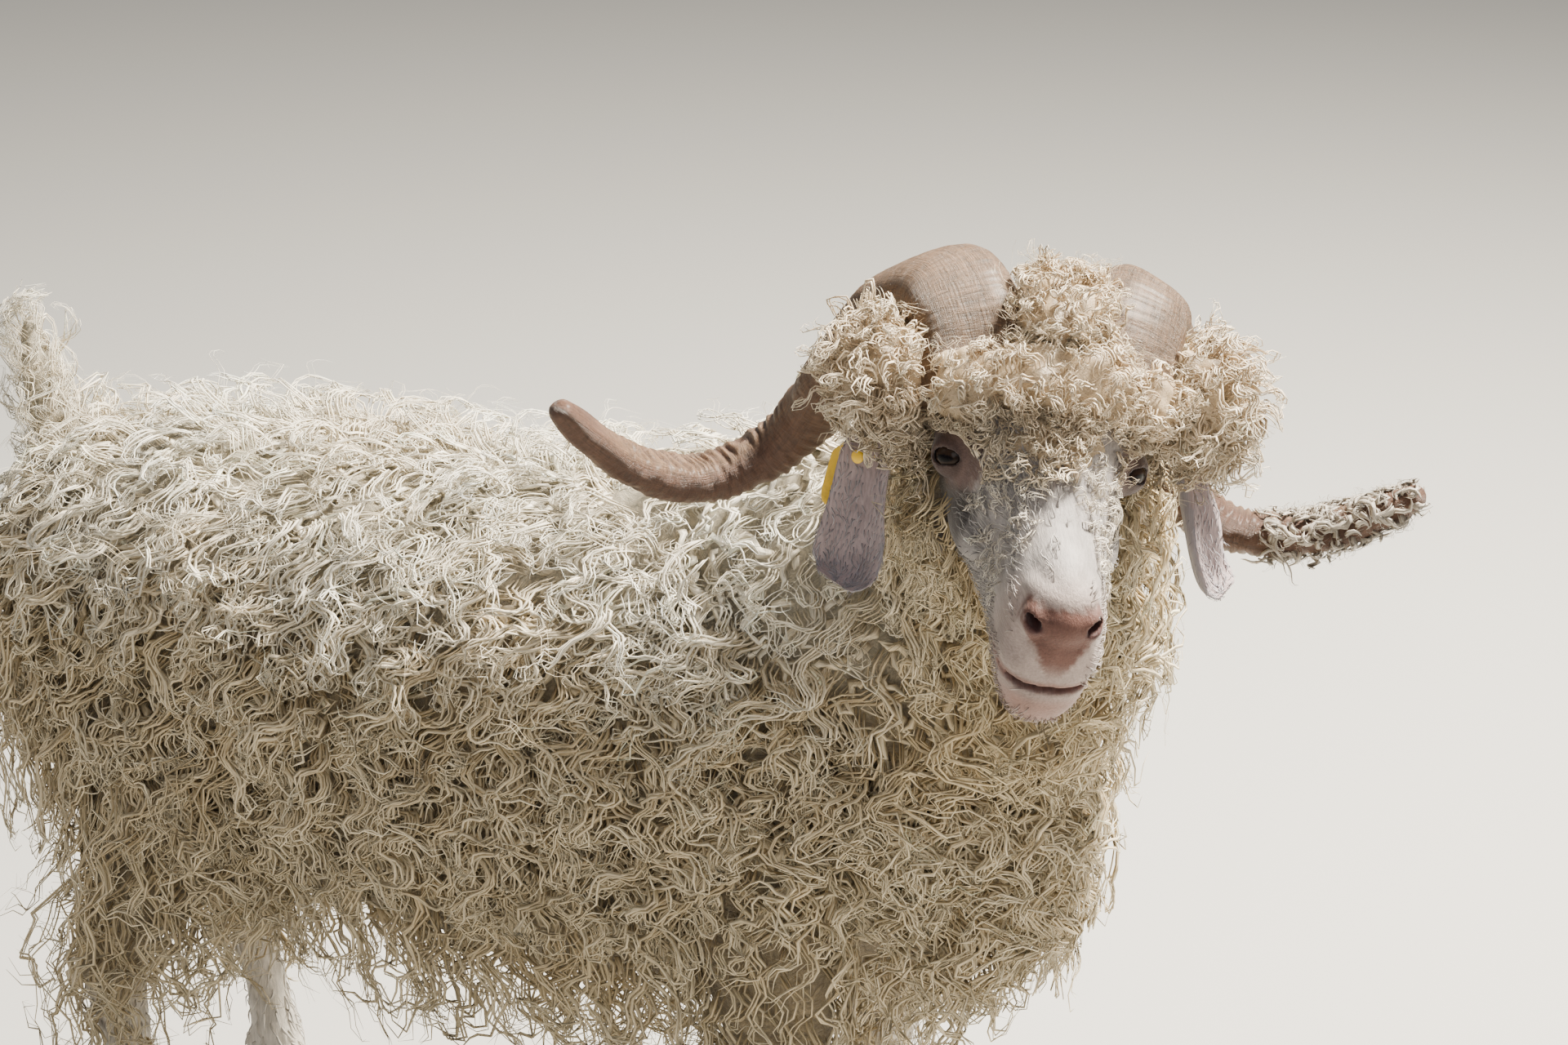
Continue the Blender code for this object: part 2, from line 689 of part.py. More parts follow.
def torso():
    core = loft("torso", TRUNK, work, 15, 16, COAT_CORE)
    pieces = leg_cores(0.020, 0.24)
    pieces.append(loft("neck_root", NECK, work, 6, 14, COAT_CORE, 0.0, 0.6))
    pieces += torso_locks()
    cuts = [half_space("neck_side", TORSO_FACE - TORSO_NORMAL * GAP / 2, TORSO_NORMAL, work)]
    for stations, room, side, _ in LEGS.values():
        cuts.append(leg_room("room", room, side, work, GAP))
    return node("torso", core, pieces, cuts + horn_cuts(), FLEECE)


# Neck and breast: ringlets that hang off the throat and lie down the sides
NECK_RINGS = (
    (0.22, (215, 270, 325), 0.185, 0.066, 0.95),
    (0.44, (192, 228, 270, 312, 348), 0.190, 0.064, 0.92),
    (0.66, (182, 225, 270, 315, 358), 0.160, 0.058, 0.90),
    (0.84, (200, 270, 340), 0.130, 0.052, 0.85),
    (0.34, (15, 50, 90, 130, 165), 0.150, 0.064, 0.60),
    (0.64, (20, 68, 112, 160), 0.125, 0.058, 0.60),
)
BREAST_SPOTS = ((0.93, 25), (0.93, 155), (0.91, -25), (0.91, 205), (0.97, 90), (0.96, -70))


def neck_locks():
    made = []
    for t, angles, length, width, drop in NECK_RINGS:
        for angle in angles:
            made.append(hanging_lock(NECK, t, math.radians(angle), length, width, work, drop=drop))
    for t, angle in BREAST_SPOTS:
        made.append(hanging_lock(TRUNK, t, math.radians(angle), 0.17, 0.060, work, drop=0.9))
    return made


def neck():
    core = loft("neck", NECK, work, 11, 14, COAT_CORE)
    pieces = [loft("breast", TRUNK, work, 9, 16, COAT_CORE, 0.45, 1.0)]
    pieces.append(loft("poll", HEAD, work, 7, 14, 0.012, 0.0, 0.40))
    pieces += neck_locks()
    cuts = [
        half_space("torso_side", TORSO_FACE + TORSO_NORMAL * GAP / 2, -TORSO_NORMAL, work),
        half_space("head_side", HEAD_FACE - HEAD_NORMAL * GAP / 2, HEAD_NORMAL, work),
    ]
    for key in ("fore_left", "fore_right"):
        _, room, side, _ = LEGS[key]
        cuts.append(leg_room("room", room, side, work, GAP))
    return node("neck", core, pieces, cuts + horn_cuts() + ear_cuts(), FLEECE)


# Head: skull with brow ridges, lids, nostrils and mouth, and the clumps of the forelock
EYE_PLACE = (0.004, 0.0580, 0.002)
EYE_RADIUS = 0.0148
LID_ARC = 7


def eye_centre(side):
    return in_head(EYE_PLACE[0], side * EYE_PLACE[1], EYE_PLACE[2])


def eye_frame(side):
    """Along the lids towards the nose, upwards, and out of the socket."""
    out = (HEAD_V * side * 0.86 + HEAD_U * 0.46 + HEAD_W * 0.22).normalized()
    along = (HEAD_U - out * HEAD_U.dot(out) - HEAD_W * 0.22).normalized()
    along = (along - out * along.dot(out)).normalized()
    up = out.cross(along)
    return along, up if up.dot(HEAD_W) > 0 else -up, out


def lid(side, upper, collection):
    """A fold of skin that runs over the eyeball from corner to corner."""
    along, up, out = eye_frame(side)
    centre = eye_centre(side)
    rise = 0.62 if upper else -0.50
    rings = []
    for i in range(LID_ARC):
        turn = math.radians(-82 + 164 * i / (LID_ARC - 1))
        height = rise * math.cos(turn) ** 0.8 if abs(turn) < 1.4 else 0.0
        way = (along * math.sin(turn) + out * math.cos(turn) * 0.9 + up * height).normalized()
        edge = up if upper else -up
        inner = centre + way * (EYE_RADIUS - 0.001)
        outer = centre + way * (EYE_RADIUS + (0.0032 if upper else 0.0024))
        deep = 0.0075 if upper else 0.0065
        rings.append([inner, outer, outer + edge * deep - way * 0.0035, inner + edge * deep - way * 0.004])
    return ring_solid("lid", rings, collection)


# Clumps on the head. Each row: place along U, angles round the skull, length, width, how it sets off
# and falls (forward, outward, down), how far it stands
HEAD_CLUMPS = (
    (-0.050, (80, 104), 0.060, 0.040, (0.3, 0.2, 1.0), (0.8, 0.3, 0.5), 0.012),
    (-0.026, (62, 90, 118), 0.064, 0.038, (1.0, 0.3, 0.3), (0.75, 0.25, -0.5), 0.020),
    (0.000, (44, 74, 106, 136), 0.062, 0.036, (1.0, 0.3, 0.0), (0.70, 0.35, -0.7), 0.020),
    (0.026, (52, 80, 100, 128), 0.054, 0.032, (1.0, 0.2, -0.1), (0.80, 0.25, -0.6), 0.014),
)
SIDE_CLUMPS = (
    (-0.060, 28, 0.115, 0.052, 0.90, -0.35),
    (-0.034, 20, 0.105, 0.050, 0.85, -0.45),
    (-0.070, 4, 0.115, 0.050, 0.75, -0.70),
)
CHEEK_LOCKS = (
    (-0.048, -22, 0.115, 0.044),
    (-0.068, -42, 0.130, 0.046),
    (-0.040, -62, 0.130, 0.044),
    (0.000, -66, 0.100, 0.036),
)


def head_place(u):
    """The place along the head's stations of a given U."""
    marks = [section[0] for section in HEAD_SECTIONS]
    for i, (low, high) in enumerate(zip(marks, marks[1:])):
        if u <= high:
            return (i + (u - low) / (high - low)) / (len(marks) - 1)
    return 1.0


def head_lock(u, degrees, length, width, start, end, stand, flat=0.0):
    root, outward = surface(HEAD, head_place(u), math.radians(degrees), flat)
    sway = width * chance.choice((-1, 1)) * chance.uniform(0.2, 0.34)
    length *= chance.uniform(0.92, 1.1)
    start, end = start.normalized(), end.normalized()
    return lock(root, outward, start, end, length, width, stand, sway, work, sink=0.012)


def head_locks():
    made = []
    for u, angles, length, width, start, end, stand in HEAD_CLUMPS:
        for angle in angles:
            away = math.cos(math.radians(angle))
            set_off = HEAD_U * start[0] + HEAD_V * away * start[1] + HEAD_W * start[2]
            fall = HEAD_U * end[0] + HEAD_V * away * end[1] + HEAD_W * end[2]
            made.append(head_lock(u, angle, length, width, set_off, fall, stand))
    for side in (1, -1):
        for u, angle, length, width, out, drop in SIDE_CLUMPS:
            turned = angle if side == 1 else 180 - angle
            set_off = HEAD_V * side * out + HEAD_W * 0.55
            fall = HEAD_V * side * out + UP * drop
            made.append(head_lock(u, turned, length, width, set_off, fall, 0.020))
        for u, angle, length, width in CHEEK_LOCKS:
            turned = angle if side == 1 else 180 - angle
            made.append(head_lock(u, turned, length, width, DOWN + HEAD_V * side * 0.25, DOWN, 0.014))
    return made


# The gap between the lips, from the corners of the mouth forwards: place, level and half height
MOUTH_SECTIONS = (
    (0.098, -0.070, 0.0008),
    (0.115, -0.068, 0.0016),
    (0.135, -0.065, 0.0026),
    (0.190, -0.061, 0.0048),
)


def mouth_slot(collection):
    """A thin wedge that runs back along the lips and rises to the corners of the mouth."""
    rings = []
    for u, level, gap in MOUTH_SECTIONS:
        corners = ((0.06, gap), (-0.06, gap), (-0.06, -gap), (0.06, -gap))
        rings.append([in_head(u, v, level + rise) for v, rise in corners])
    return ring_solid("mouth", rings, collection)


def head():
    core = loft("head", HEAD, work, 23, 16)
    pieces = [
        loft("cap", HEAD, work, 6, 14, 0.013, 0.0, 0.34),
        loft("neck_end", NECK, work, 5, 14, COAT_CORE, 0.7, 1.0),
    ]
    for side in (1, -1):
        along, up, out = eye_frame(side)
        bone = in_head(-0.002, side * 0.047, 0.010)
        pieces.append(ellipsoid("brow", bone, (along, up, out), (0.030, 0.021, 0.021), work))
    cuts = [mouth_slot(work)]
    node("head", core, pieces, cuts, FLEECE)
    pieces = [loft("jaws", HEAD, work, 8, 12, -0.008, 0.42, 0.985)]
    pieces += [lid(side, upper, work) for side in (1, -1) for upper in (True, False)]
    pieces += head_locks()
    cuts = []
    for side in (1, -1):
        socket = (EYE_RADIUS + GAP * 3,) * 3
        cuts.append(ellipsoid("eye", eye_centre(side), eye_frame(side), socket, work, 12, 8))
        opening = in_head(0.151, side * 0.0165, -0.019)
        ways = (
            (HEAD_V * side + HEAD_W * 0.55).normalized(),
            (HEAD_W - HEAD_V * side * 0.55).normalized(),
            (HEAD_U + HEAD_V * side * 0.1).normalized(),
        )
        cuts.append(ellipsoid("nostril", opening, ways, (0.0066, 0.0032, 0.014), work, 10, 6))
    groove, ways = in_head(0.166, 0, -0.044), (HEAD_V, HEAD_W, HEAD_U)
    cuts.append(ellipsoid("philtrum", groove, ways, (0.0011, 0.013, 0.0045), work, 8, 6))
    cuts.append(half_space("neck_side", HEAD_FACE + HEAD_NORMAL * GAP / 2, -HEAD_NORMAL, work))
    return node("head", core, pieces, cuts + horn_cuts() + ear_cuts(), FLEECE)


# Eyes, horns, ears and tags
def eye(side, name):
    ball = ellipsoid(name, eye_centre(side), eye_frame(side), (EYE_RADIUS,) * 3, work, 12, 8)
    return node(name, ball, [], [], EYE)


def whole_ear(side, name):
    leaf = ear(name, side, work)
    pin_hole = tag_pin("hole", side, work, swell=GAP * 1.4)
    return node(name, leaf, [], [pin_hole] + horn_cuts(), SHORT_HAIR)


def tag(side, name):
    flag, button = tag_parts(name, side, work)
    return node(name, flag, [tag_pin("pin", side, work), button], [], TAG, CUT_EDGE)


# Legs: the woolly upper part down to the knee or hock, and the bare shank
LEG_LOCKS = (35, 125, 215, 305)
WORLD_WAYS = (Vector((1, 0, 0)), Vector((0, 1, 0)), UP)


def upper_leg(key):
    stations, room, side, part = LEGS[key]
    core = loft(key, stations, work, 6, 10, 0.010, 0.05, 0.50)
    pieces = []
    for i, angle in enumerate(LEG_LOCKS):
        t = 0.285 + 0.03 * (i % 2)
        pieces.append(hanging_lock(
            stations, t, math.radians(angle), 0.170, 0.054, work, rise=0.018, drop=1.0, core=0.008
        ))
    knee = stations[0][1]
    cuts = [half_space("over", Vector((0, knee, LEG_ROOM_TOP)), UP, work)]
    cuts.append(loft("shank", stations, work, 9, 8, GAP * 2, 0.30, 1.0))
    below = Vector((stations[4][0], knee, part + GAP - 0.006))
    cuts.append(block("knee_side", below, WORLD_WAYS, (0.09, 0.075, 0.012), work))
    leg = node("leg_" + key, core, pieces, cuts, FLEECE)
    return combine(leg, [leg_room("room", room, side, work, 0.0)], "INTERSECT")


def shank(key):
    stations, _, side, part = LEGS[key]
    core = loft(key, stations, work, 9, 8, 0.0, 0.30, 1.0)
    pieces = []
    x, y = stations[7][0], stations[7][1]
    for offset in (-0.010, 0.010):
        middle = Vector((x - 0.022, y + offset, 0.088))
        pieces.append(ellipsoid("dewclaw", middle, WORLD_WAYS, (0.009, 0.006, 0.010), work, 6, 4))
    over = half_space("over", Vector((x, y, part)), UP, work)
    return node("shank_" + key, core, pieces, [over], SHORT_HAIR)


# Claws: two to a foot, flat underneath
CLAW_RINGS = (
    (0.000, 0.010, 0.0325, 0.0112),
    (0.014, 0.008, 0.0320, 0.0115),
    (0.030, 0.002, 0.0280, 0.0112),
    (CORONET - GAP, -0.003, 0.0225, 0.0104),
)


def claw(key, place):
    stations = LEGS[key][0]
    foot = Vector(stations[-1][0:3])
    spread = 0.0119 * (1 if place == "outer" else -1) * (1 if foot.y > 0 else -1)
    rings = []
    for z, forward, half_length, half_width in CLAW_RINGS:
        centre = Vector((foot.x + forward, foot.y + spread, z))
        ring = []
        for k in range(10):
            c, s = math.cos(math.tau * k / 10), math.sin(math.tau * k / 10)
            across = math.copysign(abs(s) ** 0.8, s) * half_width
            ring.append(centre + Vector((c * half_length, across, 0)))
        rings.append(ring)
    name = "claw_" + key + "_" + place
    return node(name, ring_solid(name, rings, work), [], [], CLAW)


# Tail: carried upright, with a brush of locks
TAIL_LOCKS = ((0.42, (0, 90, 180, 270)), (0.80, (45, 165, 285)))


def tail():
    core = loft("tail", TAIL, work, 7, 10)
    pieces = []
    for t, angles in TAIL_LOCKS:
        for angle in angles:
            root, outward = surface(TAIL, t, math.radians(angle))
            rising = (UP + outward * 0.35).normalized()
            sway = 0.010 * chance.choice((-1, 1))
            fanned = (rising + outward * 0.8).normalized()
            pieces.append(lock(root, outward, rising, fanned, 0.085, 0.036, 0.010, sway, work))
    cuts = [loft("rump", TRUNK, work, 15, 16, COAT_CORE + 0.0008)]
    brush = node("tail", core, pieces, cuts, FLEECE)
    return combine(brush, [loft("room", TAIL_ROOM, work, 9, 12)], "INTERSECT")


body = torso()
combine(body, [loft("room", TAIL_ROOM, work, 9, 12, GAP * 2)], "DIFFERENCE")
neck()
head()
tail()
for sign, hand in ((1, "left"), (-1, "right")):
    eye(sign, "eye_" + hand)
    horn_solid = horn("horn_" + hand, sign, work)
    node("horn_" + hand, horn_solid, [], [], HORN)
    whole_ear(sign, "ear_" + hand)
    tag(sign, "tag_" + hand)
for foot_name in LEGS:
    upper_leg(foot_name)
    shank(foot_name)
    for place_name in ("outer", "inner"):
        claw(foot_name, place_name)

# The origin goes under the middle of the whole goat's box
solids = list(goat.objects)
corners = [v.co for obj in solids for v in obj.data.vertices]
low = Vector([min(c[k] for c in corners) for k in range(3)])
high = Vector([max(c[k] for c in corners) for k in range(3)])
shift = Matrix.Translation((-(low.x + high.x) / 2, -(low.y + high.y) / 2, -low.z))
for obj in solids:
    obj.data.transform(shift)
    for face in obj.data.polygons:
        face.use_smooth = False
for left_over in list(work.objects):
    bpy.data.objects.remove(left_over)
bpy.data.collections.remove(work)
bpy.data.collections.remove(cutters)
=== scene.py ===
import math

import bmesh
import bpy
import numpy as np
from mathutils import Matrix, Vector
from mathutils.bvhtree import BVHTree


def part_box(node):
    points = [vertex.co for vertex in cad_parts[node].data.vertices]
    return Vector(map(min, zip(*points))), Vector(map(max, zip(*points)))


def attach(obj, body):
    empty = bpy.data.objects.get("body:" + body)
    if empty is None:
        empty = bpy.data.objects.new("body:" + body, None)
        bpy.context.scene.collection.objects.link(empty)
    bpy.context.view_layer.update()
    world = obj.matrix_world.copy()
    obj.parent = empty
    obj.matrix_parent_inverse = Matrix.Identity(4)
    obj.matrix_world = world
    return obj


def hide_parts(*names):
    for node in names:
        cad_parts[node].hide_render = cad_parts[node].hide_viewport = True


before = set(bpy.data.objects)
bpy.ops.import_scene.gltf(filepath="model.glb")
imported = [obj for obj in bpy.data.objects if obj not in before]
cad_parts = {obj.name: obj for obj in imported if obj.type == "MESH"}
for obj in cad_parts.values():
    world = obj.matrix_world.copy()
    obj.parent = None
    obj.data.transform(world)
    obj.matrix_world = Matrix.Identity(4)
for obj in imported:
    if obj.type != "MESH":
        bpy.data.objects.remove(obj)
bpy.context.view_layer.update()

# The goat's sizes below are measured from a point on the ground under its shoulders. The outer claw of
# the left forefoot, which the frame holds, says where that point lies.
FORE_OUTER_CLAW = Vector((0.2620, 0.1199, 0.0))
claw_low, claw_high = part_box("claw_fore_left_outer")
STAND = Vector(((claw_low[0] + claw_high[0]) / 2, (claw_low[1] + claw_high[1]) / 2, 0)) - FORE_OUTER_CLAW

# The camera looks down past the goat's right shoulder at its face, from the height of a person's eyes.
camera_data = bpy.data.cameras.new("camera")
camera_data.sensor_width = 36
camera_data.angle = math.radians(25)
camera_data.clip_start = 0.05
camera = bpy.data.objects.new("camera", camera_data)
bpy.context.scene.collection.objects.link(camera)
camera.location = Vector((1.14983, -2.38900, 1.64179)) + STAND
camera.rotation_euler = (math.radians(90 - 20), 0, math.radians(22))
bpy.context.scene.camera = camera


# The studio: a pale paper floor, a broad warm key light high behind the goat's head, softer light from
# the camera's side and from the tail, and a pale sky.
def make(tree, kind, values=None, **settings):
    """A shader node with its settings, and its inputs either set or joined to another node's output."""
    made = tree.nodes.new(kind)
    for key, value in settings.items():
        setattr(made, key, value)
    for key, value in (values or {}).items():
        if isinstance(value, bpy.types.NodeSocket):
            tree.links.new(value, made.inputs[key])
        else:
            made.inputs[key].default_value = value
    return made


def finish_of(name, roughness, **constants):
    """A new material with its shader's plain numbers set. Returns it with its node tree and shader."""
    made = bpy.data.materials.new(name)
    made.use_nodes = True
    shader = made.node_tree.nodes["Principled BSDF"]
    shader.inputs["Roughness"].default_value = roughness
    for key, value in constants.items():
        shader.inputs[key.replace("_", " ")].default_value = value
    return made, made.node_tree, shader


def noise(tree, places, scale, detail, **more):
    """The grey of a noise over places."""
    inputs = {"Vector": places, "Scale": scale, "Detail": detail, **more}
    return make(tree, "ShaderNodeTexNoise", inputs).outputs["Fac"]


def mapped(tree, value, low_in, high_in, low, high):
    """A value with its range laid over another."""
    inputs = {"Value": value, "From Min": low_in, "From Max": high_in, "To Min": low, "To Max": high}
    return make(tree, "ShaderNodeMapRange", inputs).outputs["Result"]


def sum_of(tree, first, second):
    return make(tree, "ShaderNodeMath", {0: first, 1: second}, operation="ADD").outputs[0]


def stretched(tree, places, scale, turn=(0, 0, 0)):
    inputs = {"Vector": places, "Rotation": turn, "Scale": scale}
    return make(tree, "ShaderNodeMapping", inputs).outputs["Vector"]


def painted_with(tree, layer, shade):
    """The colours painted on a mesh, made lighter and darker by a shade."""
    own = make(tree, "ShaderNodeVertexColor", layer_name=layer)
    scaled = make(tree, "ShaderNodeVectorMath", {0: own.outputs["Color"]}, operation="SCALE")
    tree.links.new(shade, scaled.inputs["Scale"])
    return scaled.outputs["Vector"]


def two_tone(tree, value, low, high, dark, light):
    """One colour up to the value low, another from high on, and a blend between them."""
    ramp = make(tree, "ShaderNodeValToRGB", {"Fac": value})
    for stop, place, colour in zip(ramp.color_ramp.elements, (low, high), (dark, light)):
        stop.position, stop.color = place, (*colour, 1)
    return ramp.outputs["Color"]


def roughen(tree, shader, height, strength, distance, below=None):
    """Adds relief from a height, over another relief where there is one."""
    relief = make(tree, "ShaderNodeBump", {"Height": height, "Strength": strength, "Distance": distance})
    if below is not None:
        tree.links.new(below.outputs["Normal"], relief.inputs["Normal"])
    tree.links.new(relief.outputs["Normal"], shader.inputs["Normal"])
    return relief


def circle(count):
    """The cosine and sine of evenly spaced angles."""
    return [(math.cos(math.tau * k / count), math.sin(math.tau * k / count)) for k in range(count)]


def squared(value, power):
    """A cosine or sine pushed outwards, so that an ellipse gets squarer."""
    return math.copysign(abs(value) ** power, value)


def soft_light(name, place, aim, power, size, colour):
    data = bpy.data.lights.new(name, "AREA")
    data.energy, data.size, data.color, data.shape = power, size, colour, "DISK"
    lamp = bpy.data.objects.new(name, data)
    bpy.context.scene.collection.objects.link(lamp)
    lamp.location = Vector(place) + STAND
    lamp.rotation_euler = (Vector(aim) - Vector(place)).to_track_quat("-Z", "Y").to_euler()


soft_light("key", (1.5, 1.2, 3.7), (0.1, -0.05, 0.6), 1020, 0.9, (1.0, 0.93, 0.81))
soft_light("fill", (1.9, -4.2, 2.4), (0.2, -0.1, 0.6), 34, 2.6, (0.96, 0.97, 1.0))
soft_light("side", (-3.0, -1.6, 2.6), (0.0, -0.1, 0.6), 16, 2.0, (1.0, 0.97, 0.92))

floor_mesh = bpy.data.meshes.new("floor")
FLOOR_RADIUS, FLOOR_SIDES = 30, 64
rim = [(FLOOR_RADIUS * c, FLOOR_RADIUS * s, 0) for c, s in circle(FLOOR_SIDES)]
floor_mesh.from_pydata(rim, [], [tuple(range(FLOOR_SIDES))])
floor = bpy.data.objects.new("floor", floor_mesh)
bpy.context.scene.collection.objects.link(floor)
paper, tree, shader = finish_of("floor_paper", 0.9)
mottle = make(tree, "ShaderNodeTexNoise", {"Scale": 3.0, "Detail": 4.0})
tint = make(tree, "ShaderNodeMix", {"Factor": mottle.outputs["Fac"]}, data_type="RGBA")
tint.inputs["A"].default_value = (0.50, 0.49, 0.46, 1)
tint.inputs["B"].default_value = (0.55, 0.54, 0.51, 1)
tree.links.new(tint.outputs["Result"], shader.inputs["Base Color"])
floor_mesh.materials.append(paper)

sky = bpy.data.worlds.new("sky")
sky.use_nodes = True
sky.node_tree.nodes["Background"].inputs["Color"].default_value = (0.93, 0.95, 1.0, 1)
sky.node_tree.nodes["Background"].inputs["Strength"].default_value = 0.25
bpy.context.scene.world = sky


# The hide: one skin over trunk, neck, head, legs and tail, with the folds of muzzle, lips and lids on a
# finer head, and the two long ears. The body's forms are lists of stations: a centre, a side and an up
# direction, a half width, the reach up and down, and how square it is (2 is an ellipse).
UP, DOWN = Vector((0, 0, 1)), Vector((0, 0, -1))
EYES_MIDDLE = Vector((0.46, -0.22, 0.86))
HEADING, PITCH, ROLL = math.radians(-64), math.radians(17), math.radians(-8.5)
head_tilt = Matrix.Rotation(PITCH, 3, "Y") @ Matrix.Rotation(ROLL, 3, "X")
head_turn = Matrix.Rotation(HEADING, 3, "Z") @ head_tilt
HEAD_U, HEAD_V, HEAD_W = (head_turn.col[k].copy() for k in range(3))
TRUNK_SECTIONS = (
    (-0.485, 0.570, 0.050, 0.060, 0.085),
    (-0.450, 0.565, 0.112, 0.122, 0.145),
    (-0.350, 0.548, 0.145, 0.168, 0.172),
    (-0.230, 0.530, 0.160, 0.190, 0.182),
    (-0.090, 0.515, 0.170, 0.202, 0.192),
    (0.050, 0.510, 0.168, 0.205, 0.196),
    (0.180, 0.520, 0.150, 0.196, 0.194),
    (0.280, 0.530, 0.122, 0.165, 0.175),
    (0.365, 0.525, 0.102, 0.112, 0.145),
    (0.425, 0.515, 0.050, 0.060, 0.085),
)
NECK_SECTIONS = (
    ((0.150, 0.000, 0.560), 0.122, 0.205, 0.150),
    ((0.270, -0.010, 0.625), 0.118, 0.172, 0.142),
    ((0.372, -0.040, 0.705), 0.102, 0.142, 0.128),
    ((0.410, -0.095, 0.785), 0.086, 0.108, 0.106),
    ((0.430, -0.145, 0.848), 0.068, 0.072, 0.084),
)
HEAD_SECTIONS = (
    (-0.125, -0.005, 0.044, 0.040, -0.050, 2.0),
    (-0.095, 0.000, 0.060, 0.066, -0.082, 2.1),
    (-0.055, 0.002, 0.066, 0.078, -0.098, 2.2),
    (-0.020, 0.000, 0.064, 0.073, -0.100, 2.3),
    (0.015, -0.006, 0.057, 0.058, -0.094, 2.3),
    (0.045, -0.016, 0.048, 0.041, -0.090, 2.3),
    (0.075, -0.028, 0.0385, 0.026, -0.091, 2.3),
    (0.100, -0.036, 0.0350, 0.016, -0.096, 2.3),
    (0.125, -0.042, 0.0340, 0.008, -0.104, 2.3),
    (0.143, -0.046, 0.0320, 0.000, -0.106, 2.3),
    (0.156, -0.048, 0.0265, -0.010, -0.099, 2.3),
    (0.164, -0.049, 0.0180, -0.022, -0.086, 2.2),
    (0.167, -0.051, 0.0090, -0.034, -0.072, 2.0),
)
FORE_LEG = (
    (0.500, 0.195, 0.080, 0.046),
    (0.400, 0.212, 0.060, 0.042),
    (0.320, 0.224, 0.043, 0.036),
    (0.265, 0.230, 0.031, 0.030),
    (0.232, 0.232, 0.030, 0.029),
    (0.200, 0.230, 0.023, 0.022),
    (0.140, 0.231, 0.0185, 0.0180),
    (0.100, 0.234, 0.0220, 0.0215),
    (0.078, 0.240, 0.0205, 0.0210),
    (0.044, 0.252, 0.0270, 0.0265),
)
HIND_LEG = (
    (0.520, -0.300, 0.110, 0.052),
    (0.420, -0.292, 0.090, 0.048),
    (0.345, -0.335, 0.056, 0.038),
    (0.295, -0.378, 0.037, 0.028),
    (0.262, -0.386, 0.029, 0.024),
    (0.215, -0.380, 0.0225, 0.0210),
    (0.150, -0.368, 0.0190, 0.0185),
    (0.105, -0.360, 0.0225, 0.0220),
    (0.078, -0.353, 0.0205, 0.0210),
    (0.044, -0.340, 0.0275, 0.0265),
)
LEG_SPREAD, FETLOCK = 0.108, 7
EYE_PLACE, EYE_RADIUS = (0.004, 0.058, 0.002), 0.0148
EAR_ROOT = (-0.054, 0.060, 0.006)
EAR_SECTIONS = (
    (0.000, -0.006, 0.000, 0.012, 0.0060, 0.000),
    (0.002, 0.024, 0.004, 0.015, 0.0050, 0.004),
    (0.014, 0.044, 0.008, 0.017, 0.0036, 0.011),
    (0.038, 0.056, 0.012, 0.019, 0.0030, 0.014),
    (0.066, 0.062, 0.016, 0.022, 0.0026, 0.014),
    (0.094, 0.067, 0.020, 0.0255, 0.0023, 0.013),
    (0.113, 0.073, 0.023, 0.0260, 0.0020, 0.012),
    (0.121, 0.079, 0.026, 0.0160, 0.0016, 0.006),
)
EAR_TURN = {1: math.radians(62), -1: math.radians(34)}


def in_head(u, v, w):
    """A point from the middle of the eyes: u towards the nose, v to the goat's left, w up."""
    return EYES_MIDDLE + HEAD_U * u + HEAD_V * v + HEAD_W * w


def station(centre, side, up, half_width, reach_up, reach_down, square=2.2):
    return (*centre, *side, *up, half_width, reach_up, reach_down, square)


def blend(rows, t):
    """The row of numbers at t, from 0 to 1 along a list, on a smooth curve through them all."""
    last = len(rows) - 1
    place = min(max(t, 0.0), 1.0) * last
    i = min(int(place), last - 1)
    f = place - i
    four = [rows[min(max(i + k, 0), last)] for k in (-1, 0, 1, 2)]
    return [
        b + 0.5 * f * (c - a + f * (2 * a - 5 * b + 4 * c - d + f * (3 * (b - c) + d - a)))
        for a, b, c, d in zip(*four)
    ]


def point_on(stations, t, angle, swell=0.0):
    values = blend(stations, t)
    centre = Vector(values[0:3])
    side, up = Vector(values[3:6]).normalized(), Vector(values[6:9]).normalized()
    half_width, reach_up, reach_down, square = values[9:13]
    c, s = math.cos(angle), math.sin(angle)
    across = squared(c, 2 / square) * (max(half_width, 0.001) + swell)
    reach = reach_up if s > 0 else reach_down
    height = squared(s, 2 / square) * (max(reach, 0.001) + swell)
    return centre + side * across + up * height


def neck_stations():
    centres = [Vector(row[0]) for row in NECK_SECTIONS]
    made = []
    for i, (_, half, up, down) in enumerate(NECK_SECTIONS):
        along = (centres[min(i + 1, len(centres) - 1)] - centres[max(i - 1, 0)]).normalized()
        side = UP.cross(along).normalized()
        made.append(station(centres[i], side, along.cross(side), half, up, down, 2.0))
    return made


